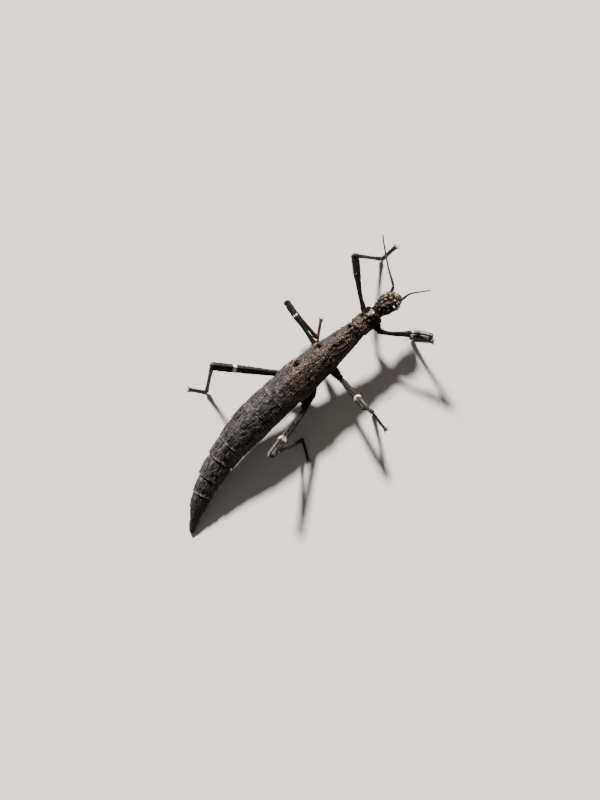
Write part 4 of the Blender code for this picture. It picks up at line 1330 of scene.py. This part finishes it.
bodyNodes = ["head", "neck", "prothorax", "mesothorax", "metathorax", "egg_plate"]
bodyNodes += [f"abdomen_{number}" for number in range(1, 11)]
placed = [(body, "abdomen", *bodyNodes), (thorns, "thorax"), (granules, "thorax"), (nodules, "abdomen")]
for name, leg in legs.items():
    placed.append((leg, "limb", *(f"{part}_{name}" for part in ("coxa", "femur", "tibia", "tarsus"))))
    placed += [(claws[name], "limb"), (bristles[name], "limb")]
for side in pairSides:
    placed += [(antennae[side], "antenna", f"antenna_{side}"), (down[side], "antenna")]
    placed += [(eyes[side], "eye", f"eye_{side}"), (palps[side], "limb", f"palp_{side}")]
placed.append((jaws, "limb", "jaws"))
for piece, slotName, *nodes in placed:
    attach(piece, "root")
    if nodes:
        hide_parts(*nodes)
print("pieces placed", len(placed))


# Floor, light and camera

studio = {
    "floor": (0.58, 0.555, 0.535),
    "floorHalf": 3.0,
    "floorDrop": 0.00005,
    "world": (1.0, 0.94, 0.89),
    "worldStrength": 0.17,
    "backdrop": (0.78, 0.76, 0.74),
    "backdropStrength": 1.6,
    "sun": (-0.685, 0.34, 0.645),
    "sunWidth": 7.5,
    "sunStrength": 14.0,
    "sunColour": (1.0, 0.965, 0.92),
    "lens": 45.0,
    "sensor": 36.0,
    "eyePoint": (107.466, -13.108, 292.139),
    "toCamera": (0.3420, 0.0, 0.9397),
    "cameraUp": (-0.7141, 0.6500, 0.2599),
}


def floorPlane():
    half, low = studio["floorHalf"], -studio["floorDrop"]
    corners = [(-half, -half, low), (half, -half, low), (half, half, low), (-half, half, low)]
    data = bpy.data.meshes.new("floorPlane")
    data.from_pydata(corners, [], [(0, 1, 2, 3)])
    material = bpy.data.materials.new("paleFloor")
    material.use_nodes = True
    inputs = material.node_tree.nodes["Principled BSDF"].inputs
    inputs["Base Color"].default_value = (*studio["floor"], 1.0)
    inputs["Roughness"].default_value = 0.9
    data.materials.append(material)
    made = linkedObject("floorPlane", data)


def keyLight():
    lamp = bpy.data.lights.new("keyLight", "SUN")
    lamp.angle = math.radians(studio["sunWidth"])
    lamp.energy = studio["sunStrength"]
    lamp.color = studio["sunColour"]
    linkedObject("keyLight", lamp).rotation_euler = Vector(studio["sun"]).to_track_quat("Z", "Y").to_euler()


def sceneCamera():
    lens = bpy.data.cameras.new("camera")
    lens.lens = studio["lens"]
    lens.sensor_width = studio["sensor"]
    lens.clip_start = 0.005
    made = linkedObject("camera", lens)
    back = Vector(studio["toCamera"]).normalized()
    right = Vector(studio["cameraUp"]).cross(back).normalized()
    made.location = (Vector(studio["eyePoint"]) + Vector(shift)) * mm
    made.rotation_euler = Matrix((right, back.cross(right), back)).transposed().to_euler()
    bpy.context.scene.camera = made


def studioWorld():  # a soft fill, with a paler backdrop for the camera alone
    world = bpy.data.worlds.new("studioWorld")
    world.use_nodes = True
    tree = world.node_tree
    fill = {"Color": (*studio["world"], 1.0), "Strength": studio["worldStrength"]}
    backdrop = {"Color": (*studio["backdrop"], 1.0), "Strength": studio["backdropStrength"]}
    inputs = {
        0: addNode(tree, "ShaderNodeLightPath").outputs["Is Camera Ray"],
        1: addNode(tree, "ShaderNodeBackground", fill).outputs[0],
        2: addNode(tree, "ShaderNodeBackground", backdrop).outputs[0],
    }
    both = addNode(tree, "ShaderNodeMixShader", inputs).outputs[0]
    tree.links.new(both, tree.nodes["World Output"].inputs["Surface"])
    bpy.context.scene.world = world


floorPlane()
keyLight()
sceneCamera()
studioWorld()
print("studio ready")
